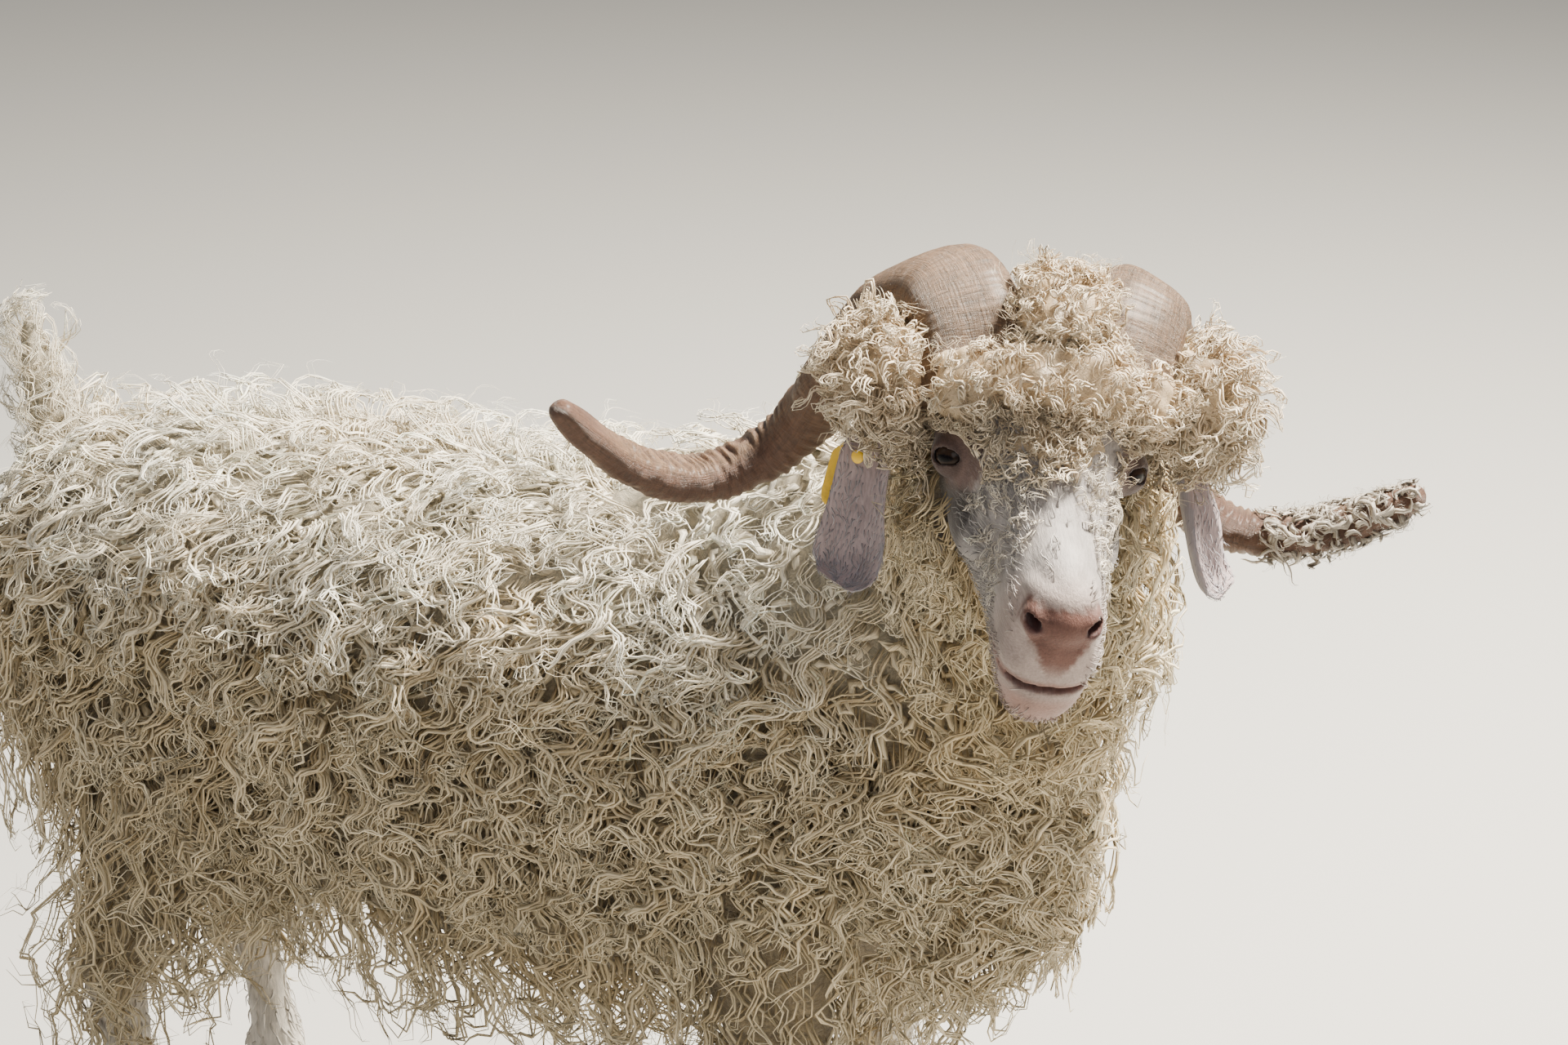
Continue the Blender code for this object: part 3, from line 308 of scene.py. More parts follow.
TRUNK = [station((x, 0, z), (0, 1, 0), (0, 0, 1), w, u, d) for x, z, w, u, d in TRUNK_SECTIONS]
NECK = neck_stations()
HEAD = [
    station(in_head(u, 0, level), HEAD_V, HEAD_W, half, top - level, level - low, square)
    for u, level, half, top, low, square in HEAD_SECTIONS
]
LEGS = {
    name: [station((x, sign * LEG_SPREAD, z), (1, 0, 0), (0, 1, 0), l, w, w) for z, x, l, w in rows]
    for name, rows, sign in (
        ("fore_left", FORE_LEG, 1),
        ("fore_right", FORE_LEG, -1),
        ("hind_left", HIND_LEG, 1),
        ("hind_right", HIND_LEG, -1),
    )
}
TAIL = [
    station((-0.425, 0, 0.640), (0, 1, 0), (1, 0, 0.2), 0.034, 0.026, 0.026),
    station((-0.468, 0, 0.690), (0, 1, 0), (1, 0, 0.2), 0.027, 0.020, 0.020),
    station((-0.488, 0, 0.745), (0, 1, 0), (1, 0, 0.1), 0.019, 0.014, 0.014),
    station((-0.494, 0, 0.795), (0, 1, 0), (1, 0, 0.0), 0.009, 0.007, 0.007),
]


def object_from(form, name):
    """Turns a bmesh into an object with its faces outwards."""
    bmesh.ops.triangulate(form, faces=[f for f in form.faces if len(f.verts) > 4])
    form.normal_update()
    bmesh.ops.recalc_face_normals(form, faces=form.faces)
    mesh = bpy.data.meshes.new(name)
    form.to_mesh(mesh)
    form.free()
    obj = bpy.data.objects.new(name, mesh)
    bpy.context.scene.collection.objects.link(obj)
    return obj


def ring_form(name, rings):
    """A closed object over rings of points."""
    form = bmesh.new()
    rows = [[form.verts.new(p) for p in ring] for ring in rings]
    count = len(rows[0])
    for low, high in zip(rows, rows[1:]):
        for i in range(count):
            j = (i + 1) % count
            form.faces.new((low[i], low[j], high[j], high[i]))
    form.faces.new(rows[0])
    form.faces.new(rows[-1])
    return object_from(form, name)


def loft(name, stations, rows, sides, swell=0.0, start=0.0, end=1.0):
    places = [start + (end - start) * row / (rows - 1) for row in range(rows)]
    angles = [math.tau * k / sides for k in range(sides)]
    return ring_form(name, [[point_on(stations, t, angle, swell) for angle in angles] for t in places])


def egg(name, centre, axes, radii, segments=32, rings=20):
    form = bmesh.new()
    bmesh.ops.create_uvsphere(form, u_segments=segments, v_segments=rings, radius=1.0)
    shape = Matrix([Vector(a) * r for a, r in zip(axes, radii)]).transposed().to_4x4()
    shape.translation = centre
    form.transform(shape)
    return object_from(form, name)


def settle(obj):
    """Applies the object's modifiers to its mesh."""
    mesh = bpy.data.meshes.new_from_object(obj.evaluated_get(bpy.context.evaluated_depsgraph_get()))
    obj.modifiers.clear()
    obj.data = mesh


def join(objects):
    form = bmesh.new()
    for obj in objects:
        form.from_mesh(obj.data)
    form.to_mesh(objects[0].data)
    form.free()
    for obj in objects[1:]:
        bpy.data.objects.remove(obj)
    return objects[0]


def melt(obj, voxel):
    remesh = obj.modifiers.new("melt", "REMESH")
    remesh.mode, remesh.voxel_size = "VOXEL", voxel
    settle(obj)


def calm(obj, times, factor=0.5):
    smooth = obj.modifiers.new("calm", "SMOOTH")
    smooth.factor, smooth.iterations = factor, times
    settle(obj)


def carve(obj, cuts):
    for cut in cuts:
        cutter = obj.modifiers.new("carve", "BOOLEAN")
        cutter.operation, cutter.object, cutter.solver = "DIFFERENCE", cut, "MANIFOLD"
        settle(obj)
        bpy.data.objects.remove(cut)


def eye_centre(side):
    return in_head(EYE_PLACE[0], side * EYE_PLACE[1], EYE_PLACE[2])


def eye_axes(side):
    """Along the lids towards the nose, upwards, and out of the socket."""
    out = (HEAD_V * side * 0.68 + HEAD_U * 0.70 + HEAD_W * 0.20).normalized()
    along = (HEAD_U * 0.82 - HEAD_V * side + HEAD_W * 0.50).normalized()
    along = (along - out * along.dot(out)).normalized()
    up = out.cross(along)
    return along, up if up.dot(HEAD_W) > 0 else -up, out


WORLD_AXES = (Vector((1, 0, 0)), Vector((0, 1, 0)), UP)
body_forms = [loft("skin", TRUNK, 40, 40), loft("neck", NECK, 24, 36), loft("tail", TAIL, 14, 20)]
body_forms += [loft("leg", stations, 40, 24) for stations in LEGS.values()]
body_forms.append(loft("poll", HEAD, 20, 30, -0.003, 0.0, 0.42))
for stations in LEGS.values():
    x, y = stations[FETLOCK][0:2]
    for offset in (-0.010, 0.010):
        behind = Vector((x - 0.022, y + offset, 0.088))
        body_forms.append(egg("dewclaw", behind, WORLD_AXES, (0.009, 0.006, 0.010)))
skin = join(body_forms)
BODY_VOXEL, HEAD_VOXEL, CUT_VOXEL = 0.0086, 0.0020, 0.0018
melt(skin, BODY_VOXEL)
calm(skin, 4)

HEAD_AXES = (HEAD_U, HEAD_V, HEAD_W)
head_forms = [loft("head", HEAD, 110, 72)]
for u, v, w, radii in (
    (0.146, 0.0, -0.020, (0.022, 0.024, 0.019)),
    (0.132, 0.0, -0.090, (0.026, 0.0225, 0.020)),
    (0.100, 0.0, -0.004, (0.055, 0.022, 0.022)),
    (0.134, 0.0, -0.008, (0.026, 0.026, 0.016)),
):
    head_forms.append(egg("muzzle", in_head(u, v, w), HEAD_AXES, radii))
for side in (1, -1):
    axes = eye_axes(side)
    head_forms.append(egg("brow", in_head(-0.002, side * 0.047, 0.010), axes, (0.030, 0.021, 0.021)))
    head_forms.append(egg("lid", eye_centre(side), axes, (EYE_RADIUS + 0.0030,) * 3))
    for u, v, w, radii in (
        (0.150, 0.0175, -0.018, (0.015, 0.0105, 0.013)),
        (0.140, 0.0145, -0.050, (0.025, 0.0195, 0.018)),
        (0.026, 0.0430, -0.034, (0.044, 0.016, 0.017)),
        (-0.030, 0.0440, -0.062, (0.046, 0.022, 0.034)),
    ):
        head_forms.append(egg("cheek", in_head(u, side * v, w), HEAD_AXES, radii))
head = join(head_forms)
melt(head, HEAD_VOXEL)
calm(head, 8)


HALF_OPENING, OPEN_UP, OPEN_DOWN = 0.0130, 0.0068, 0.0040


def eye_opening(side):
    """The almond between the lids, as a cone that widens out of the socket."""
    along, up, out = eye_axes(side)
    rings = []
    for reach in (0.35, 0.7, 1.05, 1.7):
        ring = []
        for c, s in circle(28):
            open_by = OPEN_UP if s > 0 else OPEN_DOWN
            wide = squared(c, 0.85) * HALF_OPENING
            ring.append(
                eye_centre(side) + out * EYE_RADIUS * reach + (along * wide + up * s * open_by) * reach
            )
        rings.append(ring)
    return ring_form("opening", rings)


def mouth_slot():
    rings = []
    for u, level, half_gap in (
        (0.092, -0.070, 0.0010),
        (0.115, -0.0685, 0.0012),
        (0.135, -0.0665, 0.0016),
        (0.190, -0.0630, 0.0028),
    ):
        corners = ((0.06, half_gap), (-0.06, half_gap), (-0.06, -half_gap), (0.06, -half_gap))
        rings.append([in_head(u, v, level + rise) for v, rise in corners])
    return ring_form("mouth", rings)


philtrum = egg("philtrum", in_head(0.168, 0, -0.044), (HEAD_V, HEAD_W, HEAD_U), (0.0015, 0.013, 0.0050))
head_cuts = [mouth_slot(), philtrum]
for side in (1, -1):
    head_cuts.append(egg("socket", eye_centre(side), eye_axes(side), (EYE_RADIUS + 0.0003,) * 3))
    head_cuts.append(eye_opening(side))
    flare = (HEAD_V * side + HEAD_W * 0.55).normalized()
    rim_way = (HEAD_W - HEAD_V * side * 0.55).normalized()
    steep = (HEAD_W + HEAD_V * side * 0.62).normalized()
    level_way = (HEAD_V * side - HEAD_W * 0.62).normalized()
    inward = (HEAD_U + HEAD_V * side * 0.1).normalized()
    for name, u, v, w, axes, radii in (
        ("nostril", 0.157, 0.0200, -0.0150, (flare, rim_way, inward), (0.0066, 0.0038, 0.015)),
        ("slit", 0.161, 0.0140, -0.0250, (steep, level_way, inward), (0.0115, 0.0016, 0.009)),
    ):
        head_cuts.append(egg(name, in_head(u, side * v, w), axes, radii))
carve(head, head_cuts)
melt(head, CUT_VOXEL)
calm(head, 3, 0.4)


def ear_rows(side, rows):
    """At places down the ear: its middle, the ways across it and out of its cup, its half width, thickness
    and cup."""
    ahead = Vector((math.cos(HEADING), math.sin(HEADING), 0))
    outward = Vector((-math.sin(HEADING), math.cos(HEADING), 0)) * side
    root = in_head(EAR_ROOT[0], side * EAR_ROOT[1], EAR_ROOT[2])
    values = [blend(EAR_SECTIONS, row / (rows - 1)) for row in range(rows)]
    middles = [root + DOWN * v[0] + outward * v[1] + ahead * v[2] for v in values]
    made = []
    for i, (middle, value) in enumerate(zip(middles, values)):
        along = (middles[min(i + 1, rows - 1)] - middles[max(i - 1, 0)]).normalized()
        across = outward * math.cos(EAR_TURN[side]) - ahead * math.sin(EAR_TURN[side])
        across = (across - along * across.dot(along)).normalized()
        facing = across.cross(along).normalized()
        made.append((middle, across, facing if facing.dot(ahead) > 0 else -facing, *value[3:6]))
    return made


def ear(side):
    """A hanging leaf of gristle, cupped forwards, with a thicker rim that waves a little."""
    rings, columns = [], 18
    for row, (middle, across, facing, half_width, thick, cup) in enumerate(ear_rows(side, 64)):
        front, back = [], []
        ripple = 0.0012 * math.sin(row * 0.33 + side)
        for k in range(columns):
            place = 2 * k / (columns - 1) - 1
            wrinkle = 0.0007 * math.cos(place * 9 + row * 0.11)
            bowl = -cup * (1 - place * place) + ripple * place**3 + wrinkle
            edge = (thick / 2) * (1 - 0.75 * place**6) + 0.0004 * (abs(place) > 0.75)
            spine = middle + across * (place * half_width) + facing * bowl
            front.append(spine + facing * edge)
            back.append(spine - facing * edge)
        rings.append(front + back[::-1])
    return ring_form("ear", rings)


def tree_of(obj):
    """An object's surface, for hair to be rooted in."""
    return BVHTree.FromObject(obj, bpy.context.evaluated_depsgraph_get())


ears = {side: ear(side) for side in (1, -1)}
body_tree = tree_of(skin)
ear_trees = {side: tree_of(ears[side]) for side in (1, -1)}


def points_of(mesh):
    places = np.empty(len(mesh.vertices) * 3)
    mesh.vertices.foreach_get("co", places)
    return places.reshape(-1, 3)


def step_up(value, low, high):
    """0 below low, 1 above high, and a smooth step between."""
    x = np.clip((value - low) / (high - low), 0, 1)
    return x * x * (3 - 2 * x)


def over(colours, colour, share):
    """Paints a colour over others, by a share at each point."""
    return colours + (np.array(colour) - colours) * share[:, None]


def all_over(colour, places):
    """One colour for every place."""
    return np.tile(np.array(colour), (len(places), 1))


AHEAD, ASIDE, ABOVE = (np.array(axis) for axis in HEAD_AXES)


def head_measure(places):
    """How far each place lies from the middle of the eyes: ahead, aside and above."""
    away = places - np.array(EYES_MIDDLE)
    return away @ AHEAD, away @ ASIDE, away @ ABOVE


def on_head(u, v, w):
    return (np.abs(v) < 0.085) & (np.abs(w) < 0.125) & (u > -0.13)


def on_face(u, v, start, end):
    """0 behind a slanting line across the cheek and 1 ahead of it."""
    return step_up(u + 0.45 * np.abs(v), start, end)


WHITE_HAIR, WOOL_ROOT_PAINTED_SHADE, NOSE_SKIN = (0.38, 0.345, 0.325), (0.42, 0.32, 0.18), (0.142, 0.062, 0.046)
LIP_SKIN, LID_SKIN, TEAR_STAIN_PAINTED_SHADE = (0.26, 0.140, 0.112), (0.125, 0.078, 0.066), (0.062, 0.053, 0.049)


def ragged(places, by):
    """A small wander, so that the edges of bare skin aren't drawn with a compass."""
    ways = ((700, 410, 530), (-360, 820, 240), (1300, -900, 1100))
    return by * sum(np.sin(places @ way) for way in ways) / len(ways)


def nose_pad(places):
    """How bare the nose is: a pad between the nostrils that narrows like a V to the lip."""
    u, v, w = head_measure(places)
    half = np.clip(0.0285 + 0.72 * np.minimum(0, w + 0.018), 0.0030, 0.0285) + ragged(places, 0.0030)
    level = step_up(-w + ragged(places, 0.002), 0.001, 0.007) * step_up(w, -0.060, -0.040)
    return step_up(half - np.abs(v), -0.003, 0.003) * level * step_up(u, 0.138, 0.146)


def lips(places):
    u, v, w = head_measure(places)
    lip_line = -0.0735 + 0.076 * np.clip(u - 0.03, 0, 0.2)
    near = step_up(-np.abs(w - lip_line) + ragged(places, 0.001), -0.0065, -0.002)
    return near * step_up(u, 0.100, 0.122)


def lids(places):
    share = np.zeros(len(places))
    for side in (1, -1):
        along, up, out = (np.array(axis) for axis in eye_axes(side))
        away = places - np.array(eye_centre(side))
        near = step_up(-np.hypot(away @ along / 1.5, away @ up) + ragged(places, 0.003), -0.029, -0.018)
        share = np.maximum(share, near * (np.linalg.norm(away, axis=1) < 0.045))
    return share


def hide_colours(places):
    """The hide's colours: tan wool roots darkened with painted shade for the gaps between locks, and lighter
    along the back with painted light, white short hair, pink-brown nose, lips and lids, painted shade in the
    nostrils, and the dark grey tear stain below each eye, deepened with painted shade."""
    # Under the wool the hide has the roots' tan, darkened with painted shade for the gaps between locks.
    colours = all_over(WOOL_ROOT_PAINTED_SHADE, places)
    # Painted light: the hide is lighter along the top of the back, where the key light falls on the wool.
    back_painted_light = step_up(places[:, 2], 0.58, 0.70) * step_up(-places[:, 0], -0.40, -0.26)
    colours = over(colours, (0.72, 0.64, 0.48), back_painted_light)
    shank = step_up(-places[:, 2], -0.275, -0.225)
    colours = over(colours, (0.70, 0.64, 0.55), shank)
    colours = over(colours, (0.40, 0.32, 0.25), step_up(-places[:, 2], -0.075, -0.047) * 0.8)
    u, v, w = head_measure(places)
    near = on_head(u, v, w)
    face = on_face(u, v, 0.020, 0.040) * near
    colours = over(colours, WHITE_HAIR, face)
    from_muzzle = ((u - 0.158) / 0.060) ** 2 + (v / 0.052) ** 2 + ((w + 0.055) / 0.060) ** 2
    blush = step_up(-from_muzzle, -1.6, -0.7)
    colours = over(colours, (0.40, 0.285, 0.245), blush * face * 0.65)
    # The grey below each eye: a tear stain on grey skin, darkened further with painted shade.
    grey = step_up(np.abs(v) + ragged(places, 0.004), 0.036, 0.046) * step_up(-w, -0.004, 0.012)
    grey = grey * step_up(-np.abs(u - 0.026 + 0.35 * (w + 0.05)), -0.044, -0.026)
    colours = over(colours, TEAR_STAIN_PAINTED_SHADE, grey * near * 0.9)
    chin = step_up(u, 0.118, 0.146) * step_up(-w, 0.068, 0.080) * step_up(-np.abs(v), -0.036, -0.020)
    colours = over(colours, (0.31, 0.175, 0.140), chin * face * 0.85)
    colours = over(colours, LIP_SKIN, lips(places) * face)
    colours = over(colours, NOSE_SKIN, nose_pad(places) * face)
    # Painted shade: the nostrils are darkened in and round their carved holes.
    nostril = step_up(-np.hypot((np.abs(v) - 0.0200) * 0.9, (w + 0.0190) * 1.3), -0.0072, -0.0040)
    colours = over(colours, (0.09, 0.035, 0.030), nostril * step_up(u, 0.145, 0.150))
    colours = over(colours, LID_SKIN, lids(places))
    for side in (1, -1):
        far = np.linalg.norm(places - np.array(eye_centre(side)), axis=1)
        colours = over(colours, (0.055, 0.032, 0.027), step_up(-far, -0.0186, -0.0166))
    return colours


# The ears' white hair is painted a darker lilac-grey: partly painted shade.
EAR_HAIR_PAINTED_SHADE, CUP_SKIN = (0.30, 0.275, 0.30), (0.40, 0.31, 0.31)


def ear_colours(places, side):
    """White hair on the back of the leaf, greyed with painted shade, and pink skin with thin hair in its cup
    and along the rim.
    """
    rows = ear_rows(side, 24)
    colours = np.empty((len(places), 3))
    for i, place in enumerate(places):
        row = min(rows, key=lambda r: (Vector(place) - r[0]).length_squared)
        away = Vector(place) - row[0]
        hollow = away.dot(row[2]) + row[5] * (1 - (away.dot(row[1]) / row[3]) ** 2)
        colours[i] = CUP_SKIN if hollow > 0 else EAR_HAIR_PAINTED_SHADE
    return colours


def paint(mesh, name, colours):
    layer = mesh.color_attributes.new(name, "FLOAT_COLOR", "POINT")
    with_alpha = np.column_stack([colours, np.ones(len(colours))])
    layer.data.foreach_set("color", with_alpha.astype(np.float32).ravel())


def give_ways(mesh, name, ways):
    """A vector of its own for each point of a mesh."""
    layer = mesh.attributes.new(name, "FLOAT_VECTOR", "POINT")
    layer.data.foreach_set("vector", ways.astype(np.float32).ravel())


def felted(places):
    """How much matted under-wool covers the hide: none on the face, the ears and the shanks."""
    u, v, w = head_measure(places)
    return step_up(places[:, 2], 0.24, 0.30) * (1 - on_face(u, v, 0.010, 0.030) * on_head(u, v, w))


def hair_ways(places):
    """Places in millimetres, drawn out along the short hair's lie: along the face, and down the legs."""
    u, v, w = head_measure(places)
    face = np.column_stack([u * 85, v * 1000, w * 1000 + np.abs(v) * 300])
    return np.where(on_head(u, v, w)[:, None], face, places * (1000, 1000, 85))


painted, matted, drawn_out = [], [], []
for obj, colours in (
    (skin, hide_colours(points_of(skin.data))),
    (head, hide_colours(points_of(head.data))),
    (ears[1], ear_colours(points_of(ears[1].data), 1)),
    (ears[-1], ear_colours(points_of(ears[-1].data), -1)),
):
    painted.append(colours)
    matted.append(felted(points_of(obj.data)) if obj in (skin, head) else np.zeros(len(colours)))
    drawn_out.append(hair_ways(points_of(obj.data)))
skin = join([skin, head, ears[1], ears[-1]])
skin.name = "hide"
paint(skin.data, "hide_colour", np.vstack(painted))
give_ways(skin.data, "hair_way", np.vstack(drawn_out))
under_wool = skin.data.attributes.new("matted", "FLOAT", "POINT")
under_wool.data.foreach_set("value", np.concatenate(matted).astype(np.float32))
hide, tree, shader = finish_of("hide", 0.62, Sheen_Weight=0.25, Sheen_Roughness=0.4, Specular_IOR_Level=0.35)
here = make(tree, "ShaderNodeTexCoord").outputs["Object"]
along_hair = make(tree, "ShaderNodeAttribute", attribute_name="hair_way").outputs["Vector"]
mat = make(tree, "ShaderNodeAttribute", attribute_name="matted").outputs["Fac"]
pores = noise(tree, along_hair, 0.62, 5.0, Roughness=0.65)
patches = noise(tree, here, 34.0, 5.0)
swirls = noise(tree, here, 75.0, 8.0, Roughness=0.72, Distortion=2.6)
haired = painted_with(tree, "hide_colour", mapped(tree, sum_of(tree, pores, patches), 0.7, 1.3, 0.62, 1.22))
curled = painted_with(tree, "hide_colour", mapped(tree, swirls, 0.32, 0.68, 0.40, 1.25))
shown = make(tree, "ShaderNodeMix", {"Factor": mat}, data_type="RGBA")
tree.links.new(haired, shown.inputs["A"])
tree.links.new(curled, shown.inputs["B"])
tree.links.new(shown.outputs["Result"], shader.inputs["Base Color"])
swirl_height = make(tree, "ShaderNodeMath", {0: swirls, 1: mat}, operation="MULTIPLY").outputs[0]
matting = roughen(tree, shader, swirl_height, 0.9, 0.010)
roughen(tree, shader, pores, 0.6, 0.0012, matting)


def set_up(piece, material, slot, *nodes):
    """Finishes a piece: smooth and in its material, moved from under the shoulders to where the frame
    stands, and fixed to the goat in place of the nodes that it replaces."""
    piece.data.polygons.foreach_set("use_smooth", [True] * len(piece.data.polygons))
    piece.data.materials.append(material)
    piece.data.transform(Matrix.Translation(STAND))
    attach(piece, "root")
    if nodes:
        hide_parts(*nodes)


flesh = ["torso", "neck", "head", "tail", "ear_left", "ear_right"]
flesh += [part + name for part in ("leg_", "shank_") for name in LEGS]
set_up(skin, hide, "short_hair", *flesh)


# The eyes: wet dark brown balls with a clear bulge over a slit pupil that lies level, seated in the lids.
HANDS = ((1, "left"), (-1, "right"))
for side, hand in HANDS:
    along, up, out = eye_axes(side)
    eye = egg("eyeball_" + hand, eye_centre(side), (along, up, out), (EYE_RADIUS,) * 3, 64, 44)
    away = points_of(eye.data) - np.array(eye_centre(side))
    a, b, c = (away @ np.array(axis) for axis in (along, up, out))
    off_axis = np.degrees(np.arctan2(np.hypot(a, b), c))
    bulge = 1 + 0.05 * step_up(-off_axis, -40, -20)
    eye.data.vertices.foreach_set("co", (np.array(eye_centre(side)) + away * bulge[:, None]).ravel())
    colours = all_over((0.026, 0.017, 0.014), away)
    colours = over(colours, (0.014, 0.009, 0.007), step_up(-off_axis, -47, -41))
    colours = over(colours, (0.030, 0.017, 0.011), step_up(-off_axis, -38, -26))
    slit = step_up(-np.hypot(a / 0.0062, b / 0.0024), -1.15, -0.9) * (c > 0)
    colours = over(colours, (0.004, 0.003, 0.004), slit)
    paint(eye.data, "eye_colour", colours)
    wet, tree, shader = finish_of(
        "eye_" + hand, 0.16, Coat_Weight=0.04, Coat_Roughness=0.04, Specular_IOR_Level=0.12
    )
    rays = noise(tree, make(tree, "ShaderNodeTexCoord").outputs["Object"], 900.0, 3.0)
    iris = painted_with(tree, "eye_colour", mapped(tree, rays, 0.0, 1.0, 0.6, 1.35))
    tree.links.new(iris, shader.inputs["Base Color"])
    set_up(eye, wet, "eye", "eye_" + hand)


# The horns: flat, keeled corkscrews of horn that leave the brow together, sweep back, drop beside the neck
# and turn outwards. Cross ribs wrinkle the flat faces, and the keel and the rubbed tips are smooth.
HORN_SECTIONS = (
    (0.005, 0.047, 0.035, 0.038, 0.026),
    (0.030, 0.054, 0.076, 0.039, 0.027),
    (0.068, 0.067, 0.094, 0.038, 0.0265),
    (0.120, 0.090, 0.064, 0.037, 0.0255),
    (0.164, 0.113, 0.002, 0.034, 0.0240),
    (0.192, 0.142, -0.062, 0.0285, 0.0200),
    (0.192, 0.186, -0.095, 0.0245, 0.0175),
    (0.175, 0.226, -0.096, 0.0215, 0.0155),
    (0.155, 0.264, -0.080, 0.0185, 0.0138),
    (0.140, 0.294, -0.058, 0.0155, 0.0125),
    (0.130, 0.315, -0.040, 0.0100, 0.0085),
)
HORN_ROWS, HORN_SIDES = 340, 48
BASE_WIDTH = {1: 0.86, -1: 1.0}
rng = np.random.default_rng(7)


def level_head(back, out, up):
    """A point in the head's frame without its pitch."""
    forward = -back * math.cos(PITCH) - up * math.sin(PITCH)
    return in_head(forward, out, up * math.cos(PITCH) - back * math.sin(PITCH))


def horn_stations(side):
    middles = [level_head(back, side * out, up) for back, out, up, _, _ in HORN_SECTIONS]
    made, wide = [], HEAD_V * side
    for i, (_, _, _, wide_half, thin_half) in enumerate(HORN_SECTIONS):
        at_base = i < 4
        wide_half *= BASE_WIDTH[side] if at_base else 1
        square = 3.0 if at_base else 2.4
        along = (middles[min(i + 1, len(middles) - 1)] - middles[max(i - 1, 0)]).normalized()
        wide = (wide - along * wide.dot(along)).normalized()
        made.append(station(middles[i], wide, along.cross(wide), wide_half, thin_half, thin_half, square))
        wide = Matrix.Rotation(side * math.radians(7), 3, along) @ wide
    return made


def horn_rings(side):
    """Rings of points down the horn, with the distance along it, and how deep in a groove each point is."""
    stations = horn_stations(side)
    angles = np.arange(HORN_SIDES) * math.tau / HORN_SIDES
    t = np.linspace(0, 1, HORN_ROWS)
    rings = np.array([[point_on(stations, place, angle) for angle in angles] for place in t])
    middles = rings.mean(axis=1)
    steps = np.linalg.norm(np.diff(middles, axis=0), axis=1)
    arc = np.concatenate([[0], np.cumsum(steps)])
    spacing = 0.0125 - 0.0045 * t
    phase = np.concatenate([[0], np.cumsum(steps / spacing[1:])])
    waves = ((0.55, 0.37, side), (0.32, 0.83, 2.0), (0.18, 1.9, 0.5))
    drift = sum(height * np.sin(phase * pace + start) for height, pace, start in waves)
    around = 0.35 * np.sin(angles + 0.7) + 0.18 * np.sin(3 * angles + side)
    turn = (phase + drift)[:, None] + around[None, :] * (1 + 0.4 * np.sin(phase * 0.7))[:, None]
    groove = np.abs(np.cos(np.pi * turn)) ** 3
    flat_face = 0.08 + 0.92 * np.abs(np.sin(angles)) ** 2.6
    fade = (0.12 + 0.88 * step_up(t, 0.36, 0.54)) * (1 - step_up(t, 0.74, 0.88))
    groove = groove * flat_face[None, :] * fade[:, None]
    fine = 0.00022 * np.sin(turn * 13.0) + 0.00018 * np.sin(turn * 29.0 + 2 * np.sin(2 * angles)[None, :])
    creased = step_up(t, 0.56, 0.70) * (1 - step_up(t, 0.90, 0.97))
    crease = creased[:, None] * np.maximum(0, np.sin(angles + 0.25)) ** 14
    keel = 0.0035 * np.maximum(0, np.cos(angles)) ** 10 * (1 - t)[:, None]
    keel = keel + 0.0010 * np.sin(arc * 95 + side)[:, None] * np.sin(2 * angles + arc[:, None] * 40)
    outward = rings - middles[:, None, :]
    outward /= np.linalg.norm(outward, axis=2, keepdims=True)
    chips = 0.0006 * np.sin(arc * 310)[:, None] * np.sin(5 * angles + 3 * np.sin(arc * 60)[:, None])
    ribs = (0.0010 * flat_face + chips) * fade[:, None]
    rubbed = 1 - 0.7 * step_up(t, 0.7, 0.9)
    height = ribs - 0.0026 * groove - 0.0020 * crease + fine * rubbed[:, None]
    rings = rings + outward * (height + keel)[:, :, None]
    round_off = np.concatenate([rings[-1:] * k + middles[-1] * (1 - k) for k in (0.92, 0.74, 0.45, 0.15)])
    onward = (middles[-1] - middles[-4]) / np.linalg.norm(middles[-1] - middles[-4])
    for k, reach in enumerate((0.0022, 0.0042, 0.0056, 0.0062)):
        round_off[k] += onward * reach
    return np.concatenate([rings, round_off]), arc, groove


horns = {}
for side, hand in HANDS:
    rings, arc, groove = horn_rings(side)
    count = len(rings)
    horn = ring_form("horn_full_" + hand, [[Vector(p) for p in ring] for ring in rings])
    row, angle = np.divmod(np.arange(count * HORN_SIDES), HORN_SIDES)
    angle = angle * math.tau / HORN_SIDES
    t = np.clip(row / (HORN_ROWS - 1), 0, 1)
    groove_painted_shade = np.concatenate([groove, np.zeros((count - HORN_ROWS, HORN_SIDES))]).ravel()
    colours = all_over((0.185, 0.105, 0.055), t)
    colours = over(colours, (0.135, 0.078, 0.041), step_up(-t, -0.50, -0.22))
    keel_share = step_up(np.cos(angle + 0.4), 0.25, 0.85) * step_up(t, 0.30, 0.55)
    colours = over(colours, (0.100, 0.044, 0.026), keel_share * 0.9)
    colours = over(colours, (0.135, 0.066, 0.039), step_up(t, 0.80, 0.93))
    # Painted shade: the horn is darker in the depths of its grooves.
    colours = over(colours, (0.085, 0.040, 0.024), groove_painted_shade * 0.85)
    paint(horn.data, "horn_colour", colours)
    long_way = np.concatenate([arc, [arc[-1]] * (count - HORN_ROWS)])[row]
    give_ways(horn.data, "growth", np.column_stack([np.cos(angle), np.sin(angle), long_way * 12]))
    horns[side] = horn

